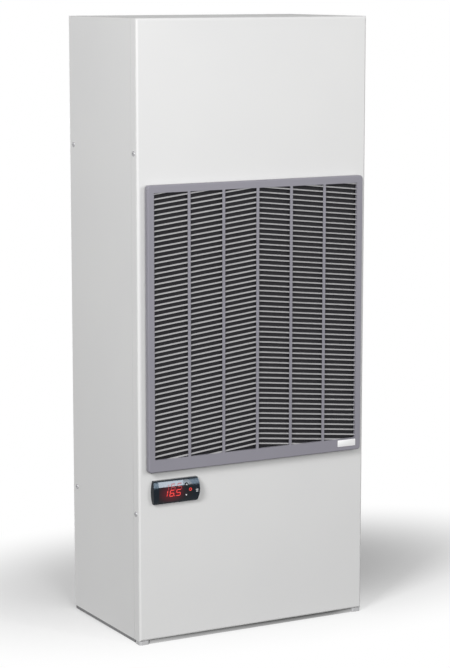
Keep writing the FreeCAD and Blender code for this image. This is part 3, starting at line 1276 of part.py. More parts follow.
PIECES = {
    "front_cover": front_cover,
    "left_side_panel": left_side_panel,
    "right_side_panel": lambda: mirrored(left_side_panel()),
    "top_panel": lambda: end_panel(Z_TOP, -1),
    "base_pan": base_pan,
    "corner_feet": corner_feet,
    "base_rails": base_rails,
    "rear_plate": rear_plate,
    "rear_seal": rear_seal,
    "mounting_inserts": mounting_inserts,
    "cable_grommet": cable_grommet,
    "panel_screws": panel_screws,
    "grille": grille,
    "grille_gasket": grille_gasket,
    "grille_studs": grille_studs,
    "filter_mat": filter_mat,
    "condenser_shroud": condenser_shroud,
    "condenser_core": condenser_core,
    "condenser_headers": condenser_headers,
    "condenser_brackets": condenser_brackets,
    "condenser_fan_rotor": condenser_fan_rotor,
    "condenser_fan_shaft": condenser_fan_shaft,
    "condenser_fan_motor": condenser_fan_motor,
    "condenser_motor_bracket": condenser_motor_bracket,
    "partition_wall": partition_wall,
    "chamber_shelf": chamber_shelf,
    "chamber_floor": chamber_floor,
    "condensate_tray": condensate_tray,
    "drain_hose": drain_hose,
    "drain_fitting": drain_fitting,
    "evaporator_fins": evaporator_fins,
    "evaporator_end_plates": evaporator_end_plates,
    "evaporator_return_bends": evaporator_return_bends,
    "evaporator_inlet_ring": evaporator_inlet_ring,
    "evaporator_impeller": evaporator_impeller,
    "evaporator_fan_shaft": evaporator_fan_shaft,
    "evaporator_fan_motor": evaporator_fan_motor,
    "evaporator_motor_bracket": evaporator_motor_bracket,
    "compressor_grommets": compressor_grommets,
    "compressor_base_plate": compressor_base_plate,
    "compressor_shell": compressor_shell,
    "compressor_terminal_cover": compressor_terminal_cover,
    "suction_accumulator": suction_accumulator,
    "discharge_line": discharge_line,
    "liquid_line": liquid_line,
    "filter_drier": filter_drier,
    "capillary_tube": capillary_tube,
    "suction_line": suction_line,
    "pressure_switch": pressure_switch,
    "electrical_box": electrical_box,
    "electrical_box_lid": electrical_box_lid,
    "terminal_strip": terminal_strip,
    "run_capacitor": run_capacitor,
    "thermostat_bezel": thermostat_bezel,
    "thermostat_lens": thermostat_lens,
    "thermostat_case": thermostat_case,
    "thermostat_clips": thermostat_clips,
    "thermostat_up_button": lambda: thermostat_button("up"),
    "thermostat_set_button": lambda: thermostat_button("set"),
    "thermostat_down_button": lambda: thermostat_button("down"),
}


def main():
    os.makedirs("parts", exist_ok=True)
    for name, make in PIECES.items():
        shape = make()
        print(f"{name}: {len(shape.Solids)} solids, {shape.Volume / 1000:.1f} cm3, valid {shape.isValid()}")
        shape.exportStep(f"parts/{name}.step")


if __name__ == "__main__":
    main()
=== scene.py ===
# %% [markdown]
# An air conditioner for a control cabinet stands on a pale floor. Its solids come ready from the packed
# model, in metres. This script gives them their finishes, and it adds or replaces the small pieces that the
# solids leave plain: a badge, the lit readout, key marks, screw heads, the filter fleece, foam and threads.

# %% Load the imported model
import json
import math

import bmesh
import bpy
from mathutils import Matrix, Quaternion, Vector


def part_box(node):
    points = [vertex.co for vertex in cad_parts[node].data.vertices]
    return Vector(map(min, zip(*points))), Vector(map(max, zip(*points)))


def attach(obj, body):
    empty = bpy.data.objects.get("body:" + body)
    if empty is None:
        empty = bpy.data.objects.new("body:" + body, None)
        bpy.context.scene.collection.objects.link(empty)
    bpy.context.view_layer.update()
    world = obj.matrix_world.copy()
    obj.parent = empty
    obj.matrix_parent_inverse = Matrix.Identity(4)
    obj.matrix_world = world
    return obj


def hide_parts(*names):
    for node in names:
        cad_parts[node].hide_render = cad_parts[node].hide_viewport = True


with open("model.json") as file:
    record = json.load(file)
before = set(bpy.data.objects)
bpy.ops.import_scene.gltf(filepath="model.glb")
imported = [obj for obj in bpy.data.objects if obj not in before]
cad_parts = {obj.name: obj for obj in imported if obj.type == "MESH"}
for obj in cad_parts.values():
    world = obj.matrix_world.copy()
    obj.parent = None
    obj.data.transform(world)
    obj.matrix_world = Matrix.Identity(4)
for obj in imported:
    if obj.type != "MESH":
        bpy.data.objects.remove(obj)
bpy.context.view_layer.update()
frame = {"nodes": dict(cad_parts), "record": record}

scene = bpy.context.scene
scene.view_settings.view_transform = "Standard"


def box_of(node):
    """The low and the high corner of a CAD node's box."""
    return [Vector(corner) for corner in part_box(node)]


# %% [markdown]
# The camera stands about 3.5 m away, to the object's left and a little above its top. Its place, turn and
# lens come from the cabinet's edges in the photograph. A long lens keeps the upright edges nearly parallel,
# and the small shift only centres the picture.

# %% Camera
CAMERA_PLACE = (-1.647, -3.0415, 1.012)
YAW, PITCH = math.radians(28.58), math.radians(-9.14)
LENS, SENSOR_WIDTH = 118.5, 36.0
SHIFT_X, SHIFT_Y = 0.0018, -0.0012
SEEN_TO = 60.0


def shown(name, data):
    """An object with that data, linked to the scene."""
    thing = bpy.data.objects.new(name, data)
    scene.collection.objects.link(thing)
    return thing


camera_data = bpy.data.cameras.new("camera")
camera_data.lens, camera_data.sensor_width = LENS, SENSOR_WIDTH
camera_data.shift_x, camera_data.shift_y = SHIFT_X, SHIFT_Y
camera_data.clip_end = SEEN_TO
camera = shown("camera", camera_data)
camera.location = CAMERA_PLACE
camera.rotation_euler = (math.pi / 2 + PITCH, 0.0, -YAW)
scene.camera = camera
print("camera at", tuple(camera.location))

# %% [markdown]
# A material is a tree of nodes, joined from socket to socket. Each helper here adds one node and returns its
# output, so a chain of nodes reads like a formula. What goes into a node may be a fixed value or the output
# of another node, and the function feed deals with both.

# %% Node helpers
MASK_SPAN = (0.0, 1.0)
NOISE_SPAN = (0.3, 0.7)         # where nearly all values of a noise lie


def feed(tree, socket, value):
    """Links a socket to another node's output, or sets a fixed value on it."""
    if isinstance(value, bpy.types.NodeSocket):
        tree.links.new(value, socket)
    else:
        socket.default_value = value


def calculated(tree, operation, *values):
    """The result of a Math node."""
    node = tree.nodes.new("ShaderNodeMath")
    node.operation = operation
    for socket, value in zip(node.inputs, values):
        feed(tree, socket, value)
    return node.outputs[0]


def ranged(tree, value, low, high, source=NOISE_SPAN, easing="LINEAR"):
    """A value taken from its source span to the span from low to high."""
    node = tree.nodes.new("ShaderNodeMapRange")
    node.interpolation_type = easing
    node.inputs["From Min"].default_value, node.inputs["From Max"].default_value = source
    for name, given in (("Value", value), ("To Min", low), ("To Max", high)):
        feed(tree, node.inputs[name], given)
    return node.outputs["Result"]


def rgba(colour):
    """A colour with the full opacity that a colour socket asks for."""
    return (*colour, 1.0)


print("noise is read over", NOISE_SPAN)

# %% [markdown]
# The world is white to the camera and to mirror-like rays, so the backdrop is clean and gloss shows it. To
# every other ray it is a dimmer sky, which fills the shade. One Light Path node makes that choice. A white
# wall behind the object would need far more light to look as clean.

# %% White surroundings
SKY_FILL = 0.38


def seen_directly(tree):
    """A mask of 1 for camera, glossy and transmission rays."""
    path = tree.nodes.new("ShaderNodeLightPath").outputs
    mirrored = calculated(tree, "MAXIMUM", path["Is Glossy Ray"], path["Is Transmission Ray"])
    return calculated(tree, "MAXIMUM", path["Is Camera Ray"], mirrored)


world = bpy.data.worlds.new("studio")
world.use_nodes = True
scene.world = world
tree = world.node_tree
sky = tree.nodes["Background"]
sky.inputs["Color"].default_value = rgba((1.0, 1.0, 1.0))
feed(tree, sky.inputs["Strength"], ranged(tree, seen_directly(tree), SKY_FILL, 1.0, MASK_SPAN))
print("sky fill", SKY_FILL)

# %% [markdown]
# Some finishes belong to one place: the shadow's pool on the floor, the glow behind a window, the dust on a
# rail. They read Object coordinates, which stay with the object in any view. A Mapping node of the kind
# Texture moves the origin to that place and makes a chosen size the unit.

# %% Place helpers


def object_place(tree):
    """The place on the object's own axes."""
    return tree.nodes.new("ShaderNodeTexCoord").outputs["Object"]


def measured_from(tree, vector, origin, unit):
    """A place as seen from an origin, in units of a size along each axis."""
    node = tree.nodes.new("ShaderNodeMapping")
    node.vector_type = "TEXTURE"
    for name, value in (("Vector", vector), ("Location", origin), ("Scale", unit)):
        feed(tree, node.inputs[name], value)
    return node.outputs["Vector"]


def vector_result(tree, operation, *values):
    """The result of a Vector Math node, which is a number where it measures a length."""
    node = tree.nodes.new("ShaderNodeVectorMath")
    node.operation = operation
    for socket, value in zip(node.inputs, values):
        feed(tree, socket, value)
    return node.outputs["Value" if operation == "LENGTH" else "Vector"]


def axes_of(tree, vector):
    """The outputs X, Y and Z of a vector."""
    node = tree.nodes.new("ShaderNodeSeparateXYZ")
    feed(tree, node.inputs["Vector"], vector)
    return node.outputs


print("places are read from Object coordinates")

# %% [markdown]
# The floor is one large flat sheet, which is not part of the object.

# %% Floor sheet
FLOOR_REACH = 9.0


def as_data(name, mesh):
    """Turns a finished bmesh into mesh data and frees it."""
    data = bpy.data.meshes.new(name)
    mesh.to_mesh(data)
    mesh.free()
    return data


sheet = bmesh.new()
bmesh.ops.create_grid(sheet, x_segments=1, y_segments=1, size=FLOOR_REACH)
floor = shown("floor", as_data("floor", sheet))
print("floor of", 2 * FLOOR_REACH, "m")

# %% [markdown]
# The floor has to be white and still take a shadow. Plain white paint would need so much light that the
# object washes out. So it is white paper to the rays that see it directly, with a trace of glow, and a grey
# that throws less light back at the object. Around an oval pool that lies along the cast shadow it fades to
# plain white, and no edge shows against the backdrop.

# %% Floor paper
PAPER_GREY, PAPER_WHITE, PAPER_GLOW = 0.30, 0.80, 0.015
POOL_MIDDLE, POOL_SIZE, POOL_FADE = (0.10, 0.19, 0.0), (0.75, 0.45, 1.0), (0.30, 1.0)
floor_paper = bpy.data.materials.new("floor_paper")
floor_paper.use_nodes = True
tree = floor_paper.node_tree
tree.nodes.clear()
direct = seen_directly(tree)
paper = tree.nodes.new("ShaderNodeBsdfDiffuse")
feed(tree, paper.inputs["Color"], ranged(tree, direct, PAPER_GREY, PAPER_WHITE, MASK_SPAN))
glow = tree.nodes.new("ShaderNodeEmission")
feed(tree, glow.inputs["Strength"], calculated(tree, "MULTIPLY", direct, PAPER_GLOW))
near = tree.nodes.new("ShaderNodeAddShader")
feed(tree, near.inputs[0], paper.outputs[0])
feed(tree, near.inputs[1], glow.outputs[0])
white = tree.nodes.new("ShaderNodeEmission")
feed(tree, white.inputs["Strength"], direct)
away = vector_result(tree, "LENGTH", measured_from(tree, object_place(tree), POOL_MIDDLE, POOL_SIZE))
fade = ranged(tree, away, 0.0, 1.0, POOL_FADE, "SMOOTHSTEP")
mix = tree.nodes.new("ShaderNodeMixShader")
for socket, value in zip(mix.inputs, (fade, near.outputs[0], white.outputs[0])):
    feed(tree, socket, value)
surface = tree.nodes.new("ShaderNodeOutputMaterial")
feed(tree, surface.inputs["Surface"], mix.outputs[0])
floor.data.materials.append(floor_paper)
print("floor fades to white around", POOL_MIDDLE)

# %% [markdown]
# Three softboxes light the object, as in a small product studio. The key stands at the front left, so its
# shadow falls back to the right. The fill stands at the front and lightens what the key leaves. The narrow
# strip at the right is the pale streak on the bowed black thermostat. It leans, because the bow sends the
# view off to the side as well as up.

# %% Softboxes


def softbox(name, place, target, width, height, watts, lean=0.0):
    lamp = bpy.data.lights.new(name, "AREA")
    lamp.shape = "RECTANGLE"
    lamp.size, lamp.size_y = width, height
    lamp.energy = watts
    box = shown(name, lamp)
    box.location = place
    aim = (Vector(target) - Vector(place)).to_track_quat("-Z", "Y")
    box.rotation_euler = (aim @ Quaternion((0.0, 0.0, 1.0), math.radians(lean))).to_euler()
    print(name, place, watts, "W")


softbox("key_softbox", place=(-2.6, -1.75, 2.0), target=(0.0, 0.0, 0.45), width=1.0, height=1.0, watts=87.0)
softbox("fill_softbox", place=(-0.7, -2.9, 1.1), target=(-0.1, 0.0, 0.7), width=0.8, height=0.8, watts=26.0)
softbox("strip_softbox", place=(0.97, -2.2, 1.06), target=(-0.15, -0.12, 0.245), width=0.15, height=0.92,
        watts=12.0, lean=-9.0)

# %% [markdown]
# Finishes that have an effect in common share a shader group, which is built once and placed in each material
# with its own values. All groups here take a place, a colour and a darker shade, and some dials of their
# own. They put out only what changes over the surface: a colour, a roughness and a height for a bump.

# %% Group helpers
FLOAT, COLOUR, VECTOR = "NodeSocketFloat", "NodeSocketColor", "NodeSocketVector"
MIX_FIRST, MIX_SECOND, MIX_RESULT = 6, 7, 2     # a Mix node's colour sockets share their names with others


def finish_group(name, dials):
    """A new group, the sockets that it is given and the sockets that it puts out."""
    group = bpy.data.node_groups.new(name, "ShaderNodeTree")
    for label, kind in (("Vector", VECTOR), ("Color", COLOUR), ("Shade Color", COLOUR)):
        group.interface.new_socket(label, in_out="INPUT", socket_type=kind)
    for label, value in dials.items():
        kind = FLOAT if isinstance(value, float) else VECTOR
        group.interface.new_socket(label, in_out="INPUT", socket_type=kind).default_value = value
    for label, kind in (("Color", COLOUR), ("Roughness", FLOAT), ("Height", FLOAT)):
        group.interface.new_socket(label, in_out="OUTPUT", socket_type=kind)
    return group, group.nodes.new("NodeGroupInput").outputs, group.nodes.new("NodeGroupOutput").inputs


def put_out(group, made, **results):
    for label, value in results.items():
        feed(group, made[label], value)
    print("group", group.name, "with", len(group.nodes), "nodes")


def noise_at(tree, vector, scale, detail):
    """A noise texture's value."""
    noise = tree.nodes.new("ShaderNodeTexNoise")
    for name, value in (("Vector", vector), ("Scale", scale), ("Detail", detail)):
        feed(tree, noise.inputs[name], value)
    return noise.outputs["Fac"]


def blended(tree, factor, first, second):
    """A colour between two others."""
    node = tree.nodes.new("ShaderNodeMix")
    node.data_type = "RGBA"
    for name, value in (("Factor", factor), (MIX_FIRST, first), (MIX_SECOND, second)):
        feed(tree, node.inputs[name], value)
    return node.outputs[MIX_RESULT]


print("groups take", FLOAT, COLOUR, VECTOR)

# %% [markdown]
# Paint, moulded plastic and rubber all have a fine grain and a slow change of tone, like clouds. Two noises
# of different size make them. A picture of paint could do the same, but noise has no seams and stays sharp
# from close by.

# %% Grain group
SPECKLE_SHARE, CLOUD_SHARE = 0.35, 0.65
grain, given, made = finish_group(
    "fine_grain", {"Grain Scale": 900.0, "Cloud Scale": 5.0, "Smooth": 0.4, "Rough": 0.5})
speckle = noise_at(grain, given["Vector"], given["Grain Scale"], detail=2.0)
cloud = noise_at(grain, given["Vector"], given["Cloud Scale"], detail=3.0)
soft_cloud = ranged(grain, cloud, 0.0, CLOUD_SHARE)
shading = calculated(grain, "MULTIPLY_ADD", speckle, SPECKLE_SHARE, soft_cloud)
put_out(grain, made,
        Color=blended(grain, shading, given["Color"], given["Shade Color"]),
        Roughness=ranged(grain, speckle, given["Smooth"], given["Rough"]),
        Height=speckle)

# %% [markdown]
# Rolled sheet, drawn tube and ground shafts carry fine lines in one direction. Noise that is stretched along
# one axis makes such streaks. The stretch is an input, so a shaft along Y and a sheet along Z can share it.

# %% Streak group
BLOTCH_SCALE, LEAST_BLOTCH = 24.0, 0.35
streaks, given, made = finish_group(
    "drawn_streaks", {"Stretch": (1.0, 1.0, 1.0), "Smooth": 0.25, "Rough": 0.45})
stretched = vector_result(streaks, "MULTIPLY", given["Vector"], given["Stretch"])
line = noise_at(streaks, stretched, 1.0, detail=3.0)
blotch = noise_at(streaks, given["Vector"], BLOTCH_SCALE, detail=2.0)
patchy = ranged(streaks, blotch, LEAST_BLOTCH, 1.0)
shading = calculated(streaks, "MULTIPLY", ranged(streaks, line, 0.0, 1.0), patchy)
put_out(streaks, made,
        Color=blended(streaks, shading, given["Color"], given["Shade Color"]),
        Roughness=ranged(streaks, line, given["Smooth"], given["Rough"]),
        Height=line)

# %% [markdown]
# Foam is full of small cut cells, and filter fleece is a mat of crossing fibres. A Voronoi pattern gives the
# pits of the foam, and noise makes them shallower and deeper, which reads as fibres where the pits are fine.

# %% Cell group
FIBRE_SPAN = (0.4, 1.4)
cells, given, made = finish_group(
    "open_cells", {"Cell Scale": 900.0, "Fibre Scale": 300.0, "Smooth": 0.85, "Rough": 1.0})
pits = cells.nodes.new("ShaderNodeTexVoronoi")
feed(cells, pits.inputs["Vector"], given["Vector"])
feed(cells, pits.inputs["Scale"], given["Cell Scale"])
fibres = noise_at(cells, given["Vector"], given["Fibre Scale"], detail=4.0)
pit_height = calculated(cells, "MULTIPLY", pits.outputs["Distance"], ranged(cells, fibres, *FIBRE_SPAN))
put_out(cells, made,
        Color=blended(cells, pit_height, given["Shade Color"], given["Color"]),
        Roughness=ranged(cells, pit_height, given["Smooth"], given["Rough"]),
        Height=pit_height)

# %% [markdown]
# A finish is one group in front of a Principled shader. Values that are the same all over, such as metallic
# or the specular level, are set on the shader itself, because an export may drop them elsewhere. Scales count
# grains per metre. The bump is in metres, so a coat of paint gets hundredths of a millimetre.

# %% Finish helpers
finishes = {}


def finish(name, group, colour, shade, dials, bump, **constants):
    """Makes a material, and keeps it in finishes under its name."""
    material = bpy.data.materials.new(name)
    material.use_nodes = True
    tree = material.node_tree
    shader = tree.nodes["Principled BSDF"]
    for socket, value in constants.items():
        shader.inputs[socket.replace("_", " ")].default_value = value
    effect = tree.nodes.new("ShaderNodeGroup")
    effect.name = "effect"
    effect.node_tree = group
    feed(tree, effect.inputs["Vector"], object_place(tree))
    for socket, value in {"Color": rgba(colour), "Shade Color": rgba(shade), **dials}.items():
        effect.inputs[socket].default_value = value
    relief = tree.nodes.new("ShaderNodeBump")
    relief.inputs["Strength"].default_value = 1.0
    relief.inputs["Distance"].default_value = bump
    feed(tree, relief.inputs["Height"], effect.outputs["Height"])
    feed(tree, shader.inputs["Base Color"], effect.outputs["Color"])
    feed(tree, shader.inputs["Roughness"], effect.outputs["Roughness"])
    feed(tree, shader.inputs["Normal"], relief.outputs["Normal"])
    finishes[name] = material
    return material


def grained(name, colour, shade, scale, roughness, bump, cloud=5.0, **constants):
    smooth, rough = roughness
    dials = {"Grain Scale": scale, "Cloud Scale": cloud, "Smooth": smooth, "Rough": rough}
    return finish(name, grain, colour, shade, dials, bump, **constants)


def streaked(name, colour, shade, stretch, roughness, bump):
    smooth, rough = roughness
    dials = {"Stretch": stretch, "Smooth": smooth, "Rough": rough}
    return finish(name, streaks, colour, shade, dials, bump, Metallic=1.0)


def celled(name, colour, shade, cell, fibre, bump):
    return finish(name, cells, colour, shade, {"Cell Scale": cell, "Fibre Scale": fibre}, bump)


print("three kinds of finish, from", grain.name, streaks.name, cells.name)

# %% [markdown]
# The panels are powder coated in a pale grey, the grille is moulded in a bluish one, and most of what is
# inside is painted or moulded too. The thermostat's bezel is nearly black, so its colour comes from what it
# mirrors: a low specular level with a blue tint gives the cold sheen of the real one.

# %% Paint, plastic and rubber
grained("cabinet_paint", (0.69, 0.69, 0.685), (0.66, 0.66, 0.66),
        scale=1300.0, roughness=(0.42, 0.56), bump=3e-5)
grained("foot_plastic", (0.52, 0.52, 0.525), (0.47, 0.47, 0.48),
        scale=1600.0, roughness=(0.45, 0.60), bump=2e-5)
# The rails' dark grey is partly their own paint and partly the painted shade of the low gap under the panels.
grained("rail_paint", (0.20, 0.20, 0.205), (0.17, 0.17, 0.175),
        scale=900.0, roughness=(0.45, 0.60), bump=3e-5)
grained("grille_plastic", (0.235, 0.228, 0.262), (0.216, 0.210, 0.243),
        scale=1500.0, roughness=(0.40, 0.55), bump=2e-5, cloud=9.0)
grained("fan_plastic", (0.030, 0.030, 0.033), (0.022, 0.022, 0.024),
        scale=1200.0, roughness=(0.40, 0.60), bump=3e-5)
grained("motor_paint", (0.080, 0.080, 0.086), (0.060, 0.060, 0.066),
        scale=700.0, roughness=(0.35, 0.50), bump=3e-5)
grained("compressor_paint", (0.018, 0.018, 0.020), (0.012, 0.012, 0.014),
        scale=500.0, roughness=(0.25, 0.40), bump=4e-5)
grained("tray_plastic", (0.30, 0.31, 0.32), (0.26, 0.27, 0.28),
        scale=1400.0, roughness=(0.40, 0.55), bump=2e-5)
grained("electric_plastic", (0.55, 0.56, 0.57), (0.50, 0.51, 0.52),
        scale=1500.0, roughness=(0.42, 0.58), bump=2e-5)
grained("terminal_plastic", (0.80, 0.77, 0.66), (0.74, 0.71, 0.60),
        scale=1500.0, roughness=(0.38, 0.52), bump=2e-5)
grained("thermostat_plastic", (0.004, 0.005, 0.008), (0.003, 0.004, 0.006),
        scale=2600.0, roughness=(0.14, 0.20), bump=2e-6, cloud=30.0,
        Specular_IOR_Level=0.26, Specular_Tint=rgba((0.60, 0.80, 1.0)))
grained("button_plastic", (0.008, 0.006, 0.007), (0.006, 0.004, 0.005),
        scale=2600.0, roughness=(0.22, 0.34), bump=3e-6, cloud=60.0, Specular_IOR_Level=0.22)
grained("black_rubber", (0.020, 0.020, 0.021), (0.014, 0.014, 0.015),
        scale=900.0, roughness=(0.55, 0.75), bump=4e-5)
print("finishes:", len(finishes))

# %% [markdown]
# The cold refrigerant line wears a sleeve of foam, the seals are cut from foam, and the filter is a dark
# fleece. Their pits are deep for their size, so the bump is several times that of paint.

# %% Foam and fleece
celled("line_insulation", (0.030, 0.030, 0.032), (0.012, 0.012, 0.013), cell=1200.0, fibre=400.0, bump=1e-4)
celled("seal_foam", (0.040, 0.040, 0.042), (0.010, 0.010, 0.011), cell=1500.0, fibre=500.0, bump=1.5e-4)
celled("filter_fleece", (0.015, 0.014, 0.018), (0.005, 0.0045, 0.006), cell=700.0, fibre=260.0, bump=4e-4)
print("finishes:", len(finishes))

# %% [markdown]
# Bare metals are told apart by their colour, by the direction of their streaks and by how sharply they
# mirror: ground shafts the most, galvanised and zinc plated steel the least.

# %% Metals
streaked("zinc_steel", (0.72, 0.72, 0.74), (0.56, 0.56, 0.59),
         stretch=(900.0, 900.0, 2500.0), roughness=(0.38, 0.52), bump=2e-6)
streaked("galvanised_sheet", (0.60, 0.62, 0.64), (0.46, 0.48, 0.51),
         stretch=(260.0, 260.0, 60.0), roughness=(0.35, 0.55), bump=4e-6)
streaked("coil_aluminium", (0.74, 0.75, 0.76), (0.60, 0.61, 0.63),
         stretch=(120.0, 900.0, 900.0), roughness=(0.30, 0.46), bump=4e-6)
streaked("copper_tube", (0.78, 0.40, 0.24), (0.55, 0.25, 0.14),
         stretch=(500.0, 500.0, 60.0), roughness=(0.24, 0.42), bump=4e-6)
streaked("shaft_steel", (0.58, 0.58, 0.60), (0.46, 0.46, 0.48),
         stretch=(900.0, 80.0, 900.0), roughness=(0.18, 0.30), bump=2e-6)
streaked("pressure_steel", (0.66, 0.62, 0.52), (0.52, 0.48, 0.38),
         stretch=(700.0, 700.0, 90.0), roughness=(0.26, 0.42), bump=3e-6)
streaked("capacitor_can", (0.70, 0.70, 0.72), (0.60, 0.60, 0.62),
         stretch=(800.0, 800.0, 40.0), roughness=(0.24, 0.38), bump=3e-6)
print("finishes:", len(finishes))

# %% [markdown]
# The thermostat's window is dark, polished over the readout and satin around the keys. The lit readout behind
# it tints the window red around the figures. That glow is painted by distance from the readout's middle, in
# the object's own coordinates, so it stays with the window in any view. A lamp behind real glass would need
# many more samples for the same look.

# %% Window finish
READOUT_SHIFT = Vector((-0.0085, 0.0, -0.0022))
HALO_REACH, HALO_COLOUR = (0.0300, 1.0, 0.0190), (0.105, 0.0016, 0.007)
PANE_RIGHT = 0.0517         # from the bezel's left end to the right edge of the polished pane
POLISHED, SATIN = (0.06, 0.09), (0.13, 0.17)


def ramp(tree, value, stops, easing="LINEAR"):
    """A colour that passes through the colours of its stops as a value grows."""
    node = tree.nodes.new("ShaderNodeValToRGB")
    node.color_ramp.interpolation = easing
    while len(node.color_ramp.elements) < len(stops):
        node.color_ramp.elements.new(0.5)
    for element, (position, colour) in zip(node.color_ramp.elements, stops):
        element.position = position
        element.color = rgba(colour)
    feed(tree, node.inputs["Fac"], value)
    return node.outputs["Color"]


bezel_low, bezel_high = box_of("thermostat_bezel")
THERMOSTAT = (bezel_low + bezel_high) / 2
THERMOSTAT.y = box_of("front_cover")[0].y
READOUT = THERMOSTAT + READOUT_SHIFT
window = grained("thermostat_window", (0.002, 0.001, 0.002), (0.001, 0.001, 0.001),
                 scale=3000.0, roughness=SATIN, bump=1e-6, cloud=40.0, Emission_Strength=1.0,
                 Specular_IOR_Level=0.28, Specular_Tint=rgba((0.78, 0.88, 1.0)))
tree = window.node_tree
place = object_place(tree)
from_readout = measured_from(tree, place, READOUT, HALO_REACH)
on_front = vector_result(tree, "MULTIPLY", from_readout, (1.0, 0.0, 1.0))
halo = ramp(tree, vector_result(tree, "LENGTH", on_front),
            [(0.0, HALO_COLOUR), (1.0, (0.0, 0.0, 0.0))], "EASE")
feed(tree, tree.nodes["Principled BSDF"].inputs["Emission Color"], halo)
by_keys = calculated(tree, "GREATER_THAN", axes_of(tree, place)["X"], bezel_low.x + PANE_RIGHT)
for socket, polished, satin in zip(("Smooth", "Rough"), POLISHED, SATIN):
    feed(tree, tree.nodes["effect"].inputs[socket], ranged(tree, by_keys, polished, satin, MASK_SPAN))
print("window glow centred at", tuple(READOUT))

# %% [markdown]
# The louvres inside the grille's frame are painted a paler and less blue grey than the frame and its upright
# ribs, as painted light that falls on them from above. All are one moulding, so the change of tone is painted:
# the place is divided by the window's half sizes, and whatever lies within one half size of the window's
# middle, both across and up, and behind the ribs, takes the lighter colour. A second material would need its
# faces picked out one by one.

# %% Painted light on the louvres
RIB_DEPTH = 0.00095
WINDOW_SIDE, WINDOW_BELOW, WINDOW_ABOVE = 0.0106, 0.0196, 0.0114
LOUVRE_LIGHT_TONES = rgba((0.415, 0.410, 0.418)), rgba((0.385, 0.380, 0.388))


def repaint(name, mask, tones):
    """Gives a finish another colour and shade where a mask is 1."""
    tree = finishes[name].node_tree
    inputs = tree.nodes["effect"].inputs
    for socket, tone in zip(("Color", "Shade Color"), tones):
        feed(tree, inputs[socket], blended(tree, mask, inputs[socket].default_value, tone))


grille_low, grille_high = box_of("grille")
window_low = grille_low + Vector((WINDOW_SIDE, 0.0, WINDOW_BELOW))
window_high = grille_high - Vector((WINDOW_SIDE, 0.0, WINDOW_ABOVE))
tree = finishes["grille_plastic"].node_tree
place = object_place(tree)
from_middle = measured_from(tree, place, (window_low + window_high) / 2, (window_high - window_low) / 2)
share = axes_of(tree, vector_result(tree, "ABSOLUTE", from_middle))
inside = calculated(tree, "LESS_THAN", calculated(tree, "MAXIMUM", share["X"], share["Z"]), 1.0)
behind = calculated(tree, "GREATER_THAN", axes_of(tree, place)["Y"], grille_low.y + RIB_DEPTH)
repaint("grille_plastic", calculated(tree, "MULTIPLY", inside, behind), LOUVRE_LIGHT_TONES)
print("louvre window", tuple(window_low), tuple(window_high))

# %% [markdown]
# The rails stand in the low gap under the panels. The front rail carries that gap's painted shade: it is
# darkest at its top and in its middle, and paler toward its lower edge and toward the feet. The place is
# divided by the size of the rails' box, which gives shares from 0 to 1 along each axis: a ramp along the width
# sets the painted shade, and the height lightens it.

# %% Painted shade on the front rail
FRONT_RAIL_DEPTH = 0.0062
SHADE_LIFT_BELOW = 0.30
SHADE_GREYS = [(0.05, 0.29), (0.19, 0.20), (0.55, 0.10), (0.73, 0.065), (0.87, 0.075), (0.955, 0.26)]
rails_low, rails_high = box_of("base_rails")
rails_size = rails_high - rails_low
tree = finishes["rail_paint"].node_tree
share = axes_of(tree, measured_from(tree, object_place(tree), rails_low, rails_size))
along = ramp(tree, share["X"], [(position, (grey, grey, grey)) for position, grey in SHADE_GREYS])
below = calculated(tree, "SUBTRACT", 1.0, share["Z"])
painted_shade = calculated(tree, "MULTIPLY_ADD", below, SHADE_LIFT_BELOW, along)
in_front = calculated(tree, "LESS_THAN", share["Y"], FRONT_RAIL_DEPTH / rails_size.y)
repaint("rail_paint", in_front, (painted_shade, painted_shade))
print("rail tone over", tuple(rails_size))

# %% [markdown]
# Little light falls on the flat top of the tall cabinet, so its paint is given a darker tone as painted shade.
# Only paint that is higher than the start of the top's rounded edges takes the darker tone, so the sides stay
# as bright as before.

# %% Painted shade on the top
EDGE_ROUND = 0.0004
TOP_SHADE_TONES = rgba((0.520, 0.520, 0.515)), rgba((0.490, 0.490, 0.490))
cabinet_top = max(box_of(name)[1].z for name in ("top_panel", "front_cover"))
tree = finishes["cabinet_paint"].node_tree
height = axes_of(tree, object_place(tree))["Z"]
repaint("cabinet_paint", calculated(tree, "GREATER_THAN", height, cabinet_top - EDGE_ROUND), TOP_SHADE_TONES)
print("painted top shade above", cabinet_top - EDGE_ROUND)

# %% [markdown]
# Every CAD node keeps its mesh and takes the finish of its material slot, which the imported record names. The
# finishes bear the names of the slots, so one loop dresses the whole object.

# %% Dress the CAD nodes
for entry in frame["record"]["subparts"]:
    data = frame["nodes"][entry["node"]].data
    data.materials.clear()
    data.materials.append(finishes[entry["material_slot"]])

# %% [markdown]
# New pieces are made in a bmesh and then handed over in one way: their doubles are merged, their faces point
# outwards, edges under 40 degrees are shaded smooth, and the piece rides on its body. Most of them start
# from a block between two corners, whose edges are then rounded as far as the real ones are.

# %% Hand over a piece
CREASE = math.radians(40)
SAME_POINT = 1e-7


def hand_over(name, mesh, material, body, replaces=()):
    bmesh.ops.remove_doubles(mesh, verts=mesh.verts, dist=SAME_POINT)
    bmesh.ops.recalc_face_normals(mesh, faces=mesh.faces)
    for face in mesh.faces:
        face.smooth = True
    for edge in mesh.edges:
        edge.smooth = edge.calc_face_angle(math.pi) < CREASE
    data = as_data(name, mesh)
    data.materials.append(material)
    piece = shown(name, data)
    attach(piece, body)
    if replaces:
        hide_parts(*replaces)
    print(name, "faces:", len(data.polygons))
    return piece


def block(mesh, low, high):
    """A sharp box between two corners."""
    low, high = Vector(low), Vector(high)
    verts = bmesh.ops.create_cube(mesh, size=1.0)["verts"]
    bmesh.ops.scale(mesh, vec=high - low, verts=verts)
    bmesh.ops.translate(mesh, vec=(low + high) / 2, verts=verts)
    return verts


def rounded(mesh, edges, radius, segments):
    bmesh.ops.bevel(mesh, geom=edges, offset=radius, segments=segments, profile=0.5, affect="EDGES",
                    material=-1)


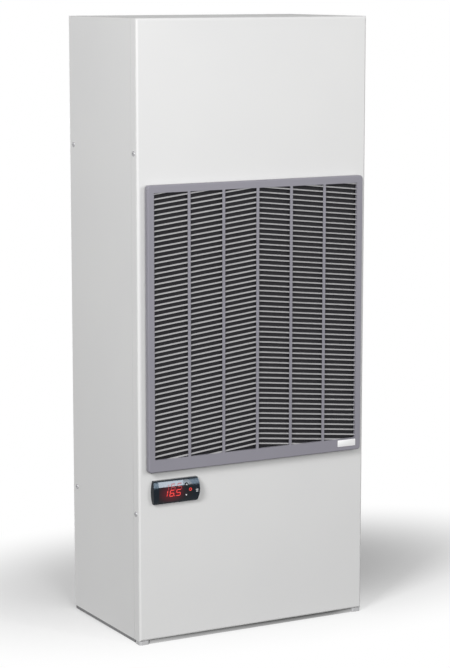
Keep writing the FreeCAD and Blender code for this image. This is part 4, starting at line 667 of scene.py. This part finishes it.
def bar(mesh, low, high, radius, segments=3):
    """A box between two corners with all its edges rounded."""
    verts = block(mesh, low, high)
    rounded(mesh, list({edge for vert in verts for edge in vert.link_edges}), radius, segments)


print("edges stay crisp from", round(math.degrees(CREASE)), "degrees")

# %% [markdown]
# The badge is a small bright plate that lies in a shallow recess of the grille's frame. It is left blank. Its
# four corners are rounded first, and then the front rim gets a fine bevel that catches the light. One bevel
# for all edges would make a pebble of it.

# %% Badge
BADGE_LEFT, BADGE_RIGHT = -0.0423, -0.0095          # from the grille's right edge
BADGE_FRONT, BADGE_BACK = 0.00006, 0.0006           # from the grille's front
BADGE_BOTTOM, BADGE_TOP = 0.0070, 0.0176            # from the grille's lower edge
BADGE_CORNER, BADGE_RIM = 0.0011, 0.00018
LEVEL = 1e-6
badge_finish = grained("badge_plate", (0.93, 0.93, 0.93), (0.90, 0.90, 0.90),
                       scale=2200.0, roughness=(0.40, 0.50), bump=4e-6, cloud=40.0)
corner = Vector((grille_high.x, grille_low.y, grille_low.z))
badge_low = corner + Vector((BADGE_LEFT, BADGE_FRONT, BADGE_BOTTOM))
badge_high = corner + Vector((BADGE_RIGHT, BADGE_BACK, BADGE_TOP))
badge = bmesh.new()
block(badge, badge_low, badge_high)
corners = [edge for edge in badge.edges if abs(edge.verts[0].co.y - edge.verts[1].co.y) > LEVEL]
rounded(badge, corners, BADGE_CORNER, segments=5)
rim = [edge for edge in badge.edges if all(abs(vert.co.y - badge_low.y) < LEVEL for vert in edge.verts)]
rounded(badge, rim, BADGE_RIM, segments=2)
hand_over("blank_badge", badge, badge_finish, "grille")

# %% [markdown]
# The window and the bezel share one bowed front, part of a cylinder along X. Marks on it are drawn flat and
# then laid on that curve, a few hundredths of a millimetre proud. A picture of the marks would be less work,
# but real edges stay sharp from close by.

# %% Marks on a bowed front
BEZEL_PROUD = 0.010
BOW_DEPTH, BOW_HALF_HEIGHT = 0.0045, 0.01825
BOW = (BOW_HALF_HEIGHT ** 2 + BOW_DEPTH ** 2) / (2 * BOW_DEPTH)
MARK_THICKNESS, MARK_PROUD = 0.00008, 0.00006


def front_at(rise):
    """Y of the bowed front at a height above the thermostat's middle."""
    return THERMOSTAT.y - BEZEL_PROUD + BOW - math.sqrt(BOW ** 2 - rise ** 2)


def thicken(mesh, faces):
    """Extrudes flat faces backwards to a mark's thickness, and returns the new vertices."""
    solid = bmesh.ops.extrude_face_region(mesh, geom=faces)
    moved = [item for item in solid["geom"] if isinstance(item, bmesh.types.BMVert)]
    bmesh.ops.translate(mesh, vec=(0.0, MARK_THICKNESS, 0.0), verts=moved)
    return moved


def plate(mesh, outline):
    """A thin flat shape from (x, z) points, its front at y = 0."""
    verts = [mesh.verts.new((x, 0.0, z)) for x, z in outline]
    return verts + thicken(mesh, [mesh.faces.new(verts)])


def lay_on_front(mesh, proud=MARK_PROUD):
    for vert in mesh.verts:
        vert.co.y += front_at(vert.co.z - THERMOSTAT.z) - proud


print("bow radius", BOW, "m")

# %% [markdown]
# The readout has three figures of seven bars each, leaning a little to the right. A bar is a long hexagon,
# and a figure is a choice of bars, so one shape makes every figure. A font would do for one readout, but its
# bars would not be those of a lit display.

# %% Figures of bars
READING = "165"
BARS_OF = {"1": "bc", "5": "afgcd", "6": "afgecd"}
FIGURE_WIDTH, FIGURE_HEIGHT, FIGURE_PITCH = 0.0066, 0.0092, 0.0112
BAR_WIDTH, BAR_GAP = 0.00130, 0.0003
POINT_RADIUS, POINT_RIGHT = 0.0007, 0.0053
LEAN = math.tan(math.radians(8))
half_w, half_h = FIGURE_WIDTH / 2, FIGURE_HEIGHT / 2
BAR_PLACES = {"a": (0, half_h, 0), "g": (0, 0, 0), "d": (0, -half_h, 0), "f": (-half_w, half_h / 2, 1),
              "b": (half_w, half_h / 2, 1), "e": (-half_w, -half_h / 2, 1), "c": (half_w, -half_h / 2, 1)}
LYING = Matrix.Rotation(math.pi / 2, 4, "X")


def lit_bar(mesh, length, x, z, upright):
    tip, side = length / 2, BAR_WIDTH / 2
    end = tip - side
    verts = plate(mesh, [(-tip, 0), (-end, -side), (end, -side), (tip, 0), (end, side), (-end, side)])
    if upright:
        bmesh.ops.rotate(mesh, matrix=Matrix.Rotation(math.pi / 2, 3, "Y"), verts=verts)
    bmesh.ops.translate(mesh, vec=(x, 0.0, z), verts=verts)


def figures_at(place):
    mesh = bmesh.new()
    for index, figure in enumerate(READING):
        middle = (index - 1) * FIGURE_PITCH
        for name in BARS_OF[figure]:
            x, z, upright = BAR_PLACES[name]
            lit_bar(mesh, (half_h if upright else FIGURE_WIDTH) - BAR_GAP, middle + x, z, upright)
    point = Matrix.Translation((POINT_RIGHT, MARK_THICKNESS / 2, -half_h)) @ LYING
    bmesh.ops.create_cone(mesh, cap_ends=True, segments=12, radius1=POINT_RADIUS, radius2=POINT_RADIUS,
                          depth=MARK_THICKNESS, matrix=point)
    for vert in mesh.verts:
        vert.co.x += vert.co.z * LEAN
    bmesh.ops.translate(mesh, vec=(place.x, 0.0, place.z), verts=mesh.verts)
    return mesh


print("bars in the reading:", sum(len(BARS_OF[figure]) for figure in READING))

# %% [markdown]
# Lit bars are never quite even, so a noise moves their glow between two reds. That goes to Emission Color,
# while the strength is the same all over, so it is set on the shader.

# %% Readout
UNEVEN_SCALE = 420.0


def lit(name, low, high, strength):
    """A red finish that glows unevenly, between two colours."""
    material = grained(name, (0.30, 0.01, 0.01), (0.22, 0.008, 0.008),
                       scale=2500.0, roughness=(0.3, 0.4), bump=1e-6, Emission_Strength=strength)
    tree = material.node_tree
    uneven = noise_at(tree, object_place(tree), UNEVEN_SCALE, detail=1.0)
    feed(tree, tree.nodes["Principled BSDF"].inputs["Emission Color"],
         ramp(tree, uneven, [(0.35, low), (0.65, high)]))
    return material


lit_red = lit("lit_figures", (0.80, 0.020, 0.018), (1.00, 0.085, 0.060), strength=0.85)
readout = figures_at(READOUT)
lay_on_front(readout)
hand_over("readout_figures", readout, lit_red, "cabinet")

# %% [markdown]
# A thick window mirrors the lit figures once more, fainter and higher up. That reflection is painted: the same
# function draws the figures again with a dim glowing finish, so the painted reflection cannot drift away from
# the first figures. It lies a little deeper, so that the first covers it where they cross.

# %% Painted reflection of the readout
REFLECTION_SHIFT, REFLECTION_PROUD = Vector((0.0024, 0.0, 0.0092)), 0.00004
reflection_glow = lit("painted_reflection_figures", (0.050, 0.003, 0.008), (0.080, 0.006, 0.017), strength=1.0)
painted_reflection = figures_at(READOUT + REFLECTION_SHIFT)
lay_on_front(painted_reflection, REFLECTION_PROUD)
hand_over("readout_painted_reflection", painted_reflection, reflection_glow, "cabinet")

# %% [markdown]
# The up and down keys bear an arrow in pale print on their flat front. The signs ride on the keys, so they go
# in when a key is pressed. One triangle makes both, with its height turned round for the second.

# %% Key arrows
KEY_PROUD = 0.0004
ARROW_HALF, ARROW_FOOT, ARROW_TIP = 0.0015, 0.0011, 0.0015
pale_ink = grained("pale_ink", (0.80, 0.80, 0.81), (0.72, 0.72, 0.73),
                   scale=2200.0, roughness=(0.45, 0.6), bump=1e-6, cloud=80.0)


def put_on_key(mesh, name):
    """Moves a sign that is drawn about the origin to the front of a key."""
    low, high = box_of(f"thermostat_{name}_button")
    middle = (low + high) / 2
    middle.y = front_at(middle.z - THERMOSTAT.z) - KEY_PROUD - MARK_PROUD
    bmesh.ops.translate(mesh, vec=middle, verts=mesh.verts)


for name, way in (("up", 1), ("down", -1)):
    sign = bmesh.new()
    plate(sign, [(-ARROW_HALF, -ARROW_FOOT * way), (ARROW_HALF, -ARROW_FOOT * way), (0.0, ARROW_TIP * way)])
    put_on_key(sign, name)
    hand_over(f"{name}_key_sign", sign, pale_ink, f"{name}_button")

# %% [markdown]
# The set key has a lit ring. A disc is inset, its middle is taken out, and the ring that is left is made
# thicker.

# %% Set ring
RING_RADIUS, RING_WIDTH = 0.0024, 0.0010
ring = bmesh.new()
bmesh.ops.create_circle(ring, cap_ends=True, segments=24, radius=RING_RADIUS, matrix=LYING)
disc = ring.faces[:]
bmesh.ops.inset_region(ring, faces=disc, thickness=RING_WIDTH, use_boundary=True)
bmesh.ops.delete(ring, geom=disc, context="FACES")
thicken(ring, ring.faces[:])
put_on_key(ring, "set")
hand_over("set_key_sign", ring, lit_red, "set_button")

# %% [markdown]
# Two short pale bars are printed on the bezel at the right of the keys. They follow the bow, so they are laid
# on it as the figures are.

# %% Bezel stripes
STRIPE_X, STRIPE_HALF, STRIPES = 0.0347, 0.0006, ((-0.0007, 0.0042), (-0.0036, 0.0034))
stripes = bmesh.new()
for rise, length in STRIPES:
    left, right = (THERMOSTAT.x + STRIPE_X + way * length / 2 for way in (-1, 1))
    low, high = (THERMOSTAT.z + rise + way * STRIPE_HALF for way in (-1, 1))
    plate(stripes, [(left, low), (right, low), (right, high), (left, high)])
lay_on_front(stripes)
hand_over("bezel_stripes", stripes, pale_ink, "cabinet")

# %% [markdown]
# The side panels are held by pan-head screws. A screw is a turned part, so one head with its short shank is
# spun from half of its outline, about the X axis.

# %% Screw head
HEAD_RADIUS, HEAD_HEIGHT = 0.0040, 0.0016
SHANK_RADIUS, SHANK_END = 0.0020, -0.0062
PROFILE = [(HEAD_HEIGHT, 0.0), (HEAD_HEIGHT, 0.0018), (0.00145, 0.0028), (0.0011, 0.0036),
           (0.0005, HEAD_RADIUS), (0.0, HEAD_RADIUS), (0.0, SHANK_RADIUS), (-0.0060, SHANK_RADIUS),
           (SHANK_END, 0.0017), (SHANK_END, 0.0)]
turned = bmesh.new()
points = [turned.verts.new((x, radius, 0.0)) for x, radius in PROFILE]
line = [turned.edges.new(pair) for pair in zip(points, points[1:])]
bmesh.ops.spin(turned, geom=points + line, cent=(0, 0, 0), axis=(1, 0, 0), angle=2 * math.pi, steps=32,
               use_merge=True)
bmesh.ops.remove_doubles(turned, verts=turned.verts, dist=SAME_POINT)
bmesh.ops.recalc_face_normals(turned, faces=turned.faces)
print("screw head faces:", len(turned.faces))

# %% [markdown]
# The driver's recess is a cross of two crossed blocks, cut out by a Boolean. The blocks overlap, so the
# modifier is told to expect that. The cut mesh is kept, and the two objects that made it are removed.

# %% Cross recess
CROSS_FLOOR, CROSS_MOUTH, CROSS_ARM, CROSS_WIDTH = 0.0006, 0.0030, 0.0040, 0.0007
cross = bmesh.new()
for wide, tall in ((CROSS_WIDTH, CROSS_ARM), (CROSS_ARM, CROSS_WIDTH)):
    block(cross, (CROSS_FLOOR, -wide / 2, -tall / 2), (CROSS_MOUTH, wide / 2, tall / 2))

head = shown("screw_head", as_data("screw_head", turned))
cutter = shown("screw_cross", as_data("screw_cross", cross))
cut = head.modifiers.new("recess", "BOOLEAN")
cut.object = cutter
cut.solver = "EXACT"
cut.use_self = True
cut_data = bpy.data.meshes.new_from_object(head.evaluated_get(bpy.context.evaluated_depsgraph_get()))
for thing in (head, cutter):
    bpy.data.objects.remove(thing)
print("cut head faces:", len(cut_data.polygons))

# %% [markdown]
# Copies of the cut head go to the eight places. Real screws stop at any angle, so each copy is turned by an
# amount that depends on its place, and on the left side it is turned round to face outwards.

# %% Panel screws
FIRST_TURN, TURN_BY_DEPTH = 0.4, 2.1
screws = bmesh.new()
screws_low, screws_high = box_of("panel_screws")
for side in (-1, 1):
    for y in (screws_low.y + HEAD_RADIUS, screws_high.y - HEAD_RADIUS):
        for z in (screws_low.z + HEAD_RADIUS, screws_high.z - HEAD_RADIUS):
            start = len(screws.verts)
            screws.from_mesh(cut_data)
            screws.verts.ensure_lookup_table()
            verts = screws.verts[start:]
            outwards = Matrix.Rotation(0.0 if side > 0 else math.pi, 3, "Z")
            tightened = Matrix.Rotation(FIRST_TURN + TURN_BY_DEPTH * y + z, 3, "X")
            bmesh.ops.rotate(screws, matrix=outwards @ tightened, verts=verts)
            bmesh.ops.translate(screws, vec=(side * (screws_high.x - HEAD_HEIGHT), y, z), verts=verts)
screw_finish = streaked("screw_zinc", (0.46, 0.46, 0.47), (0.34, 0.34, 0.35),
                        stretch=(900.0, 900.0, 900.0), roughness=(0.30, 0.45), bump=2e-6)
hand_over("cross_recess_screws", screws, screw_finish, "cabinet", ["panel_screws"])

# %% [markdown]
# Behind the slats lies a mat of dark fleece. It is a rounded bar whose long edges are divided, and whose rim
# is pressed together a little, as it would be where the frame holds it. The mat is a flat cut sheet that
# nothing pulls at, so it needs no cloth simulation.

# %% Filter fleece
MAT_ROUND, LONG_EDGE, LONG_CUTS = 0.0024, 0.2, 9
RIM_SHARE, RIM_PRESS = 0.02, 0.8
mat_low, mat_high = box_of("filter_mat")
mat_size, mat_middle = mat_high - mat_low, (mat_low + mat_high) / 2
mat = bmesh.new()
bar(mat, mat_low, mat_high, MAT_ROUND, segments=4)
long_edges = [edge for edge in mat.edges if edge.calc_length() > LONG_EDGE]
bmesh.ops.subdivide_edges(mat, edges=long_edges, cuts=LONG_CUTS, use_grid_fill=True)
for vert in mat.verts:
    across = (vert.co.x - mat_low.x) / mat_size.x
    up = (vert.co.z - mat_low.z) / mat_size.z
    if min(across, 1 - across, up, 1 - up) < RIM_SHARE:
        vert.co.y = mat_middle.y + (vert.co.y - mat_middle.y) * RIM_PRESS
fleece = hand_over("filter_fleece_mat", mat, finishes["filter_fleece"], "grille",
                   ["filter_mat"])

# %% [markdown]
# Foam strips seal the back of the unit against the enclosure. Cut foam has soft edges, so each strip is a
# rounded bar, and the four strips meet at butt joints.

# %% Rear seal
SEAL_WIDTH, SEAL_ROUND = 0.0120, 0.0009


def strip(mesh, box, left, right, bottom, top, radius, segments):
    """A rounded bar that is as deep as a box."""
    bar(mesh, (left, box[0].y, bottom), (right, box[1].y, top), radius, segments)


seal = bmesh.new()
seal_box = box_of("rear_seal")
edge, lower, upper = seal_box[1].x, seal_box[0].z, seal_box[1].z
for left, right, bottom, top in ((-edge, edge, lower, lower + SEAL_WIDTH),
                                 (-edge, edge, upper - SEAL_WIDTH, upper),
                                 (-edge, SEAL_WIDTH - edge, lower + SEAL_WIDTH, upper - SEAL_WIDTH),
                                 (edge - SEAL_WIDTH, edge, lower + SEAL_WIDTH, upper - SEAL_WIDTH)):
    strip(seal, seal_box, left, right, bottom, top, SEAL_ROUND, segments=3)
foam = hand_over("rear_foam_seal", seal, finishes["seal_foam"], "cabinet", ["rear_seal"])

# %% [markdown]
# Thinner foam seals the grille against the cover. The upper and the lower row leave gaps for the grille's
# four studs, so each is made of three strips.

# %% Grille gasket
GASKET_WIDTH, GASKET_ROUND = 0.0025, 0.0006
STUD_X, STUD_GAP = 0.1506, 0.0027
gasket = bmesh.new()
gasket_box = box_of("grille_gasket")
edge, lower, upper = gasket_box[1].x, gasket_box[0].z, gasket_box[1].z
for bottom in (lower, upper - GASKET_WIDTH):
    for left, right in ((-edge, -STUD_X - STUD_GAP), (STUD_GAP - STUD_X, STUD_X - STUD_GAP),
                        (STUD_X + STUD_GAP, edge)):
        strip(gasket, gasket_box, left, right, bottom, bottom + GASKET_WIDTH, GASKET_ROUND, segments=2)
for left in (-edge, edge - GASKET_WIDTH):
    strip(gasket, gasket_box, left, left + GASKET_WIDTH, lower + GASKET_WIDTH, upper - GASKET_WIDTH,
          GASKET_ROUND, segments=2)
foam = hand_over("grille_foam_gasket", gasket, finishes["seal_foam"], "grille",
                 ["grille_gasket"])

# %% [markdown]
# Four threaded inserts in the back take the mounting bolts. The flange and the grooves of the thread are one
# profile, spun about the insert's axis. A true thread climbs as it turns, but rings of the same pitch look
# alike in so small a hole and take a fraction of the faces.

# %% Threaded inserts
INSERT_X, INSERT_HEIGHTS = 0.165, (0.048, 0.914)
BODY_RADIUS, FLANGE_RADIUS, FLANGE_EDGE = 0.0055, 0.0075, 0.0003
FLANGE_THICKNESS, THREAD_START, THREAD_PITCH = 0.0012, 0.0006, 0.00125
MOUTH_RADIUS, GROOVE_RADIUS, CREST_RADIUS, END_RADIUS = 0.0044, 0.0040, 0.0034, 0.0036
inserts_low, inserts_high = box_of("mounting_inserts")
flange_face, insert_end = inserts_high.y, inserts_low.y
plate_face = flange_face - FLANGE_THICKNESS
thread = []
y = flange_face - THREAD_START
while y - THREAD_PITCH > insert_end:
    thread += [(GROOVE_RADIUS, y), (CREST_RADIUS, y - THREAD_PITCH / 2)]
    y -= THREAD_PITCH
outline = [(BODY_RADIUS, insert_end), (BODY_RADIUS, plate_face), (FLANGE_RADIUS, plate_face),
           (FLANGE_RADIUS, flange_face - FLANGE_EDGE), (FLANGE_RADIUS - FLANGE_EDGE, flange_face),
           (MOUTH_RADIUS, flange_face)] + thread + [(END_RADIUS, insert_end)]
inserts = bmesh.new()
for x in (-INSERT_X, INSERT_X):
    for z in INSERT_HEIGHTS:
        points = [inserts.verts.new((x + radius, y, z)) for radius, y in outline]
        loop = [inserts.edges.new(pair) for pair in zip(points, points[1:] + points[:1])]
        bmesh.ops.spin(inserts, geom=points + loop, cent=(x, 0.0, z), axis=(0, 1, 0), angle=2 * math.pi,
                       steps=36, use_merge=True)
hand_over("threaded_inserts", inserts, finishes["zinc_steel"], "cabinet", ["mounting_inserts"])
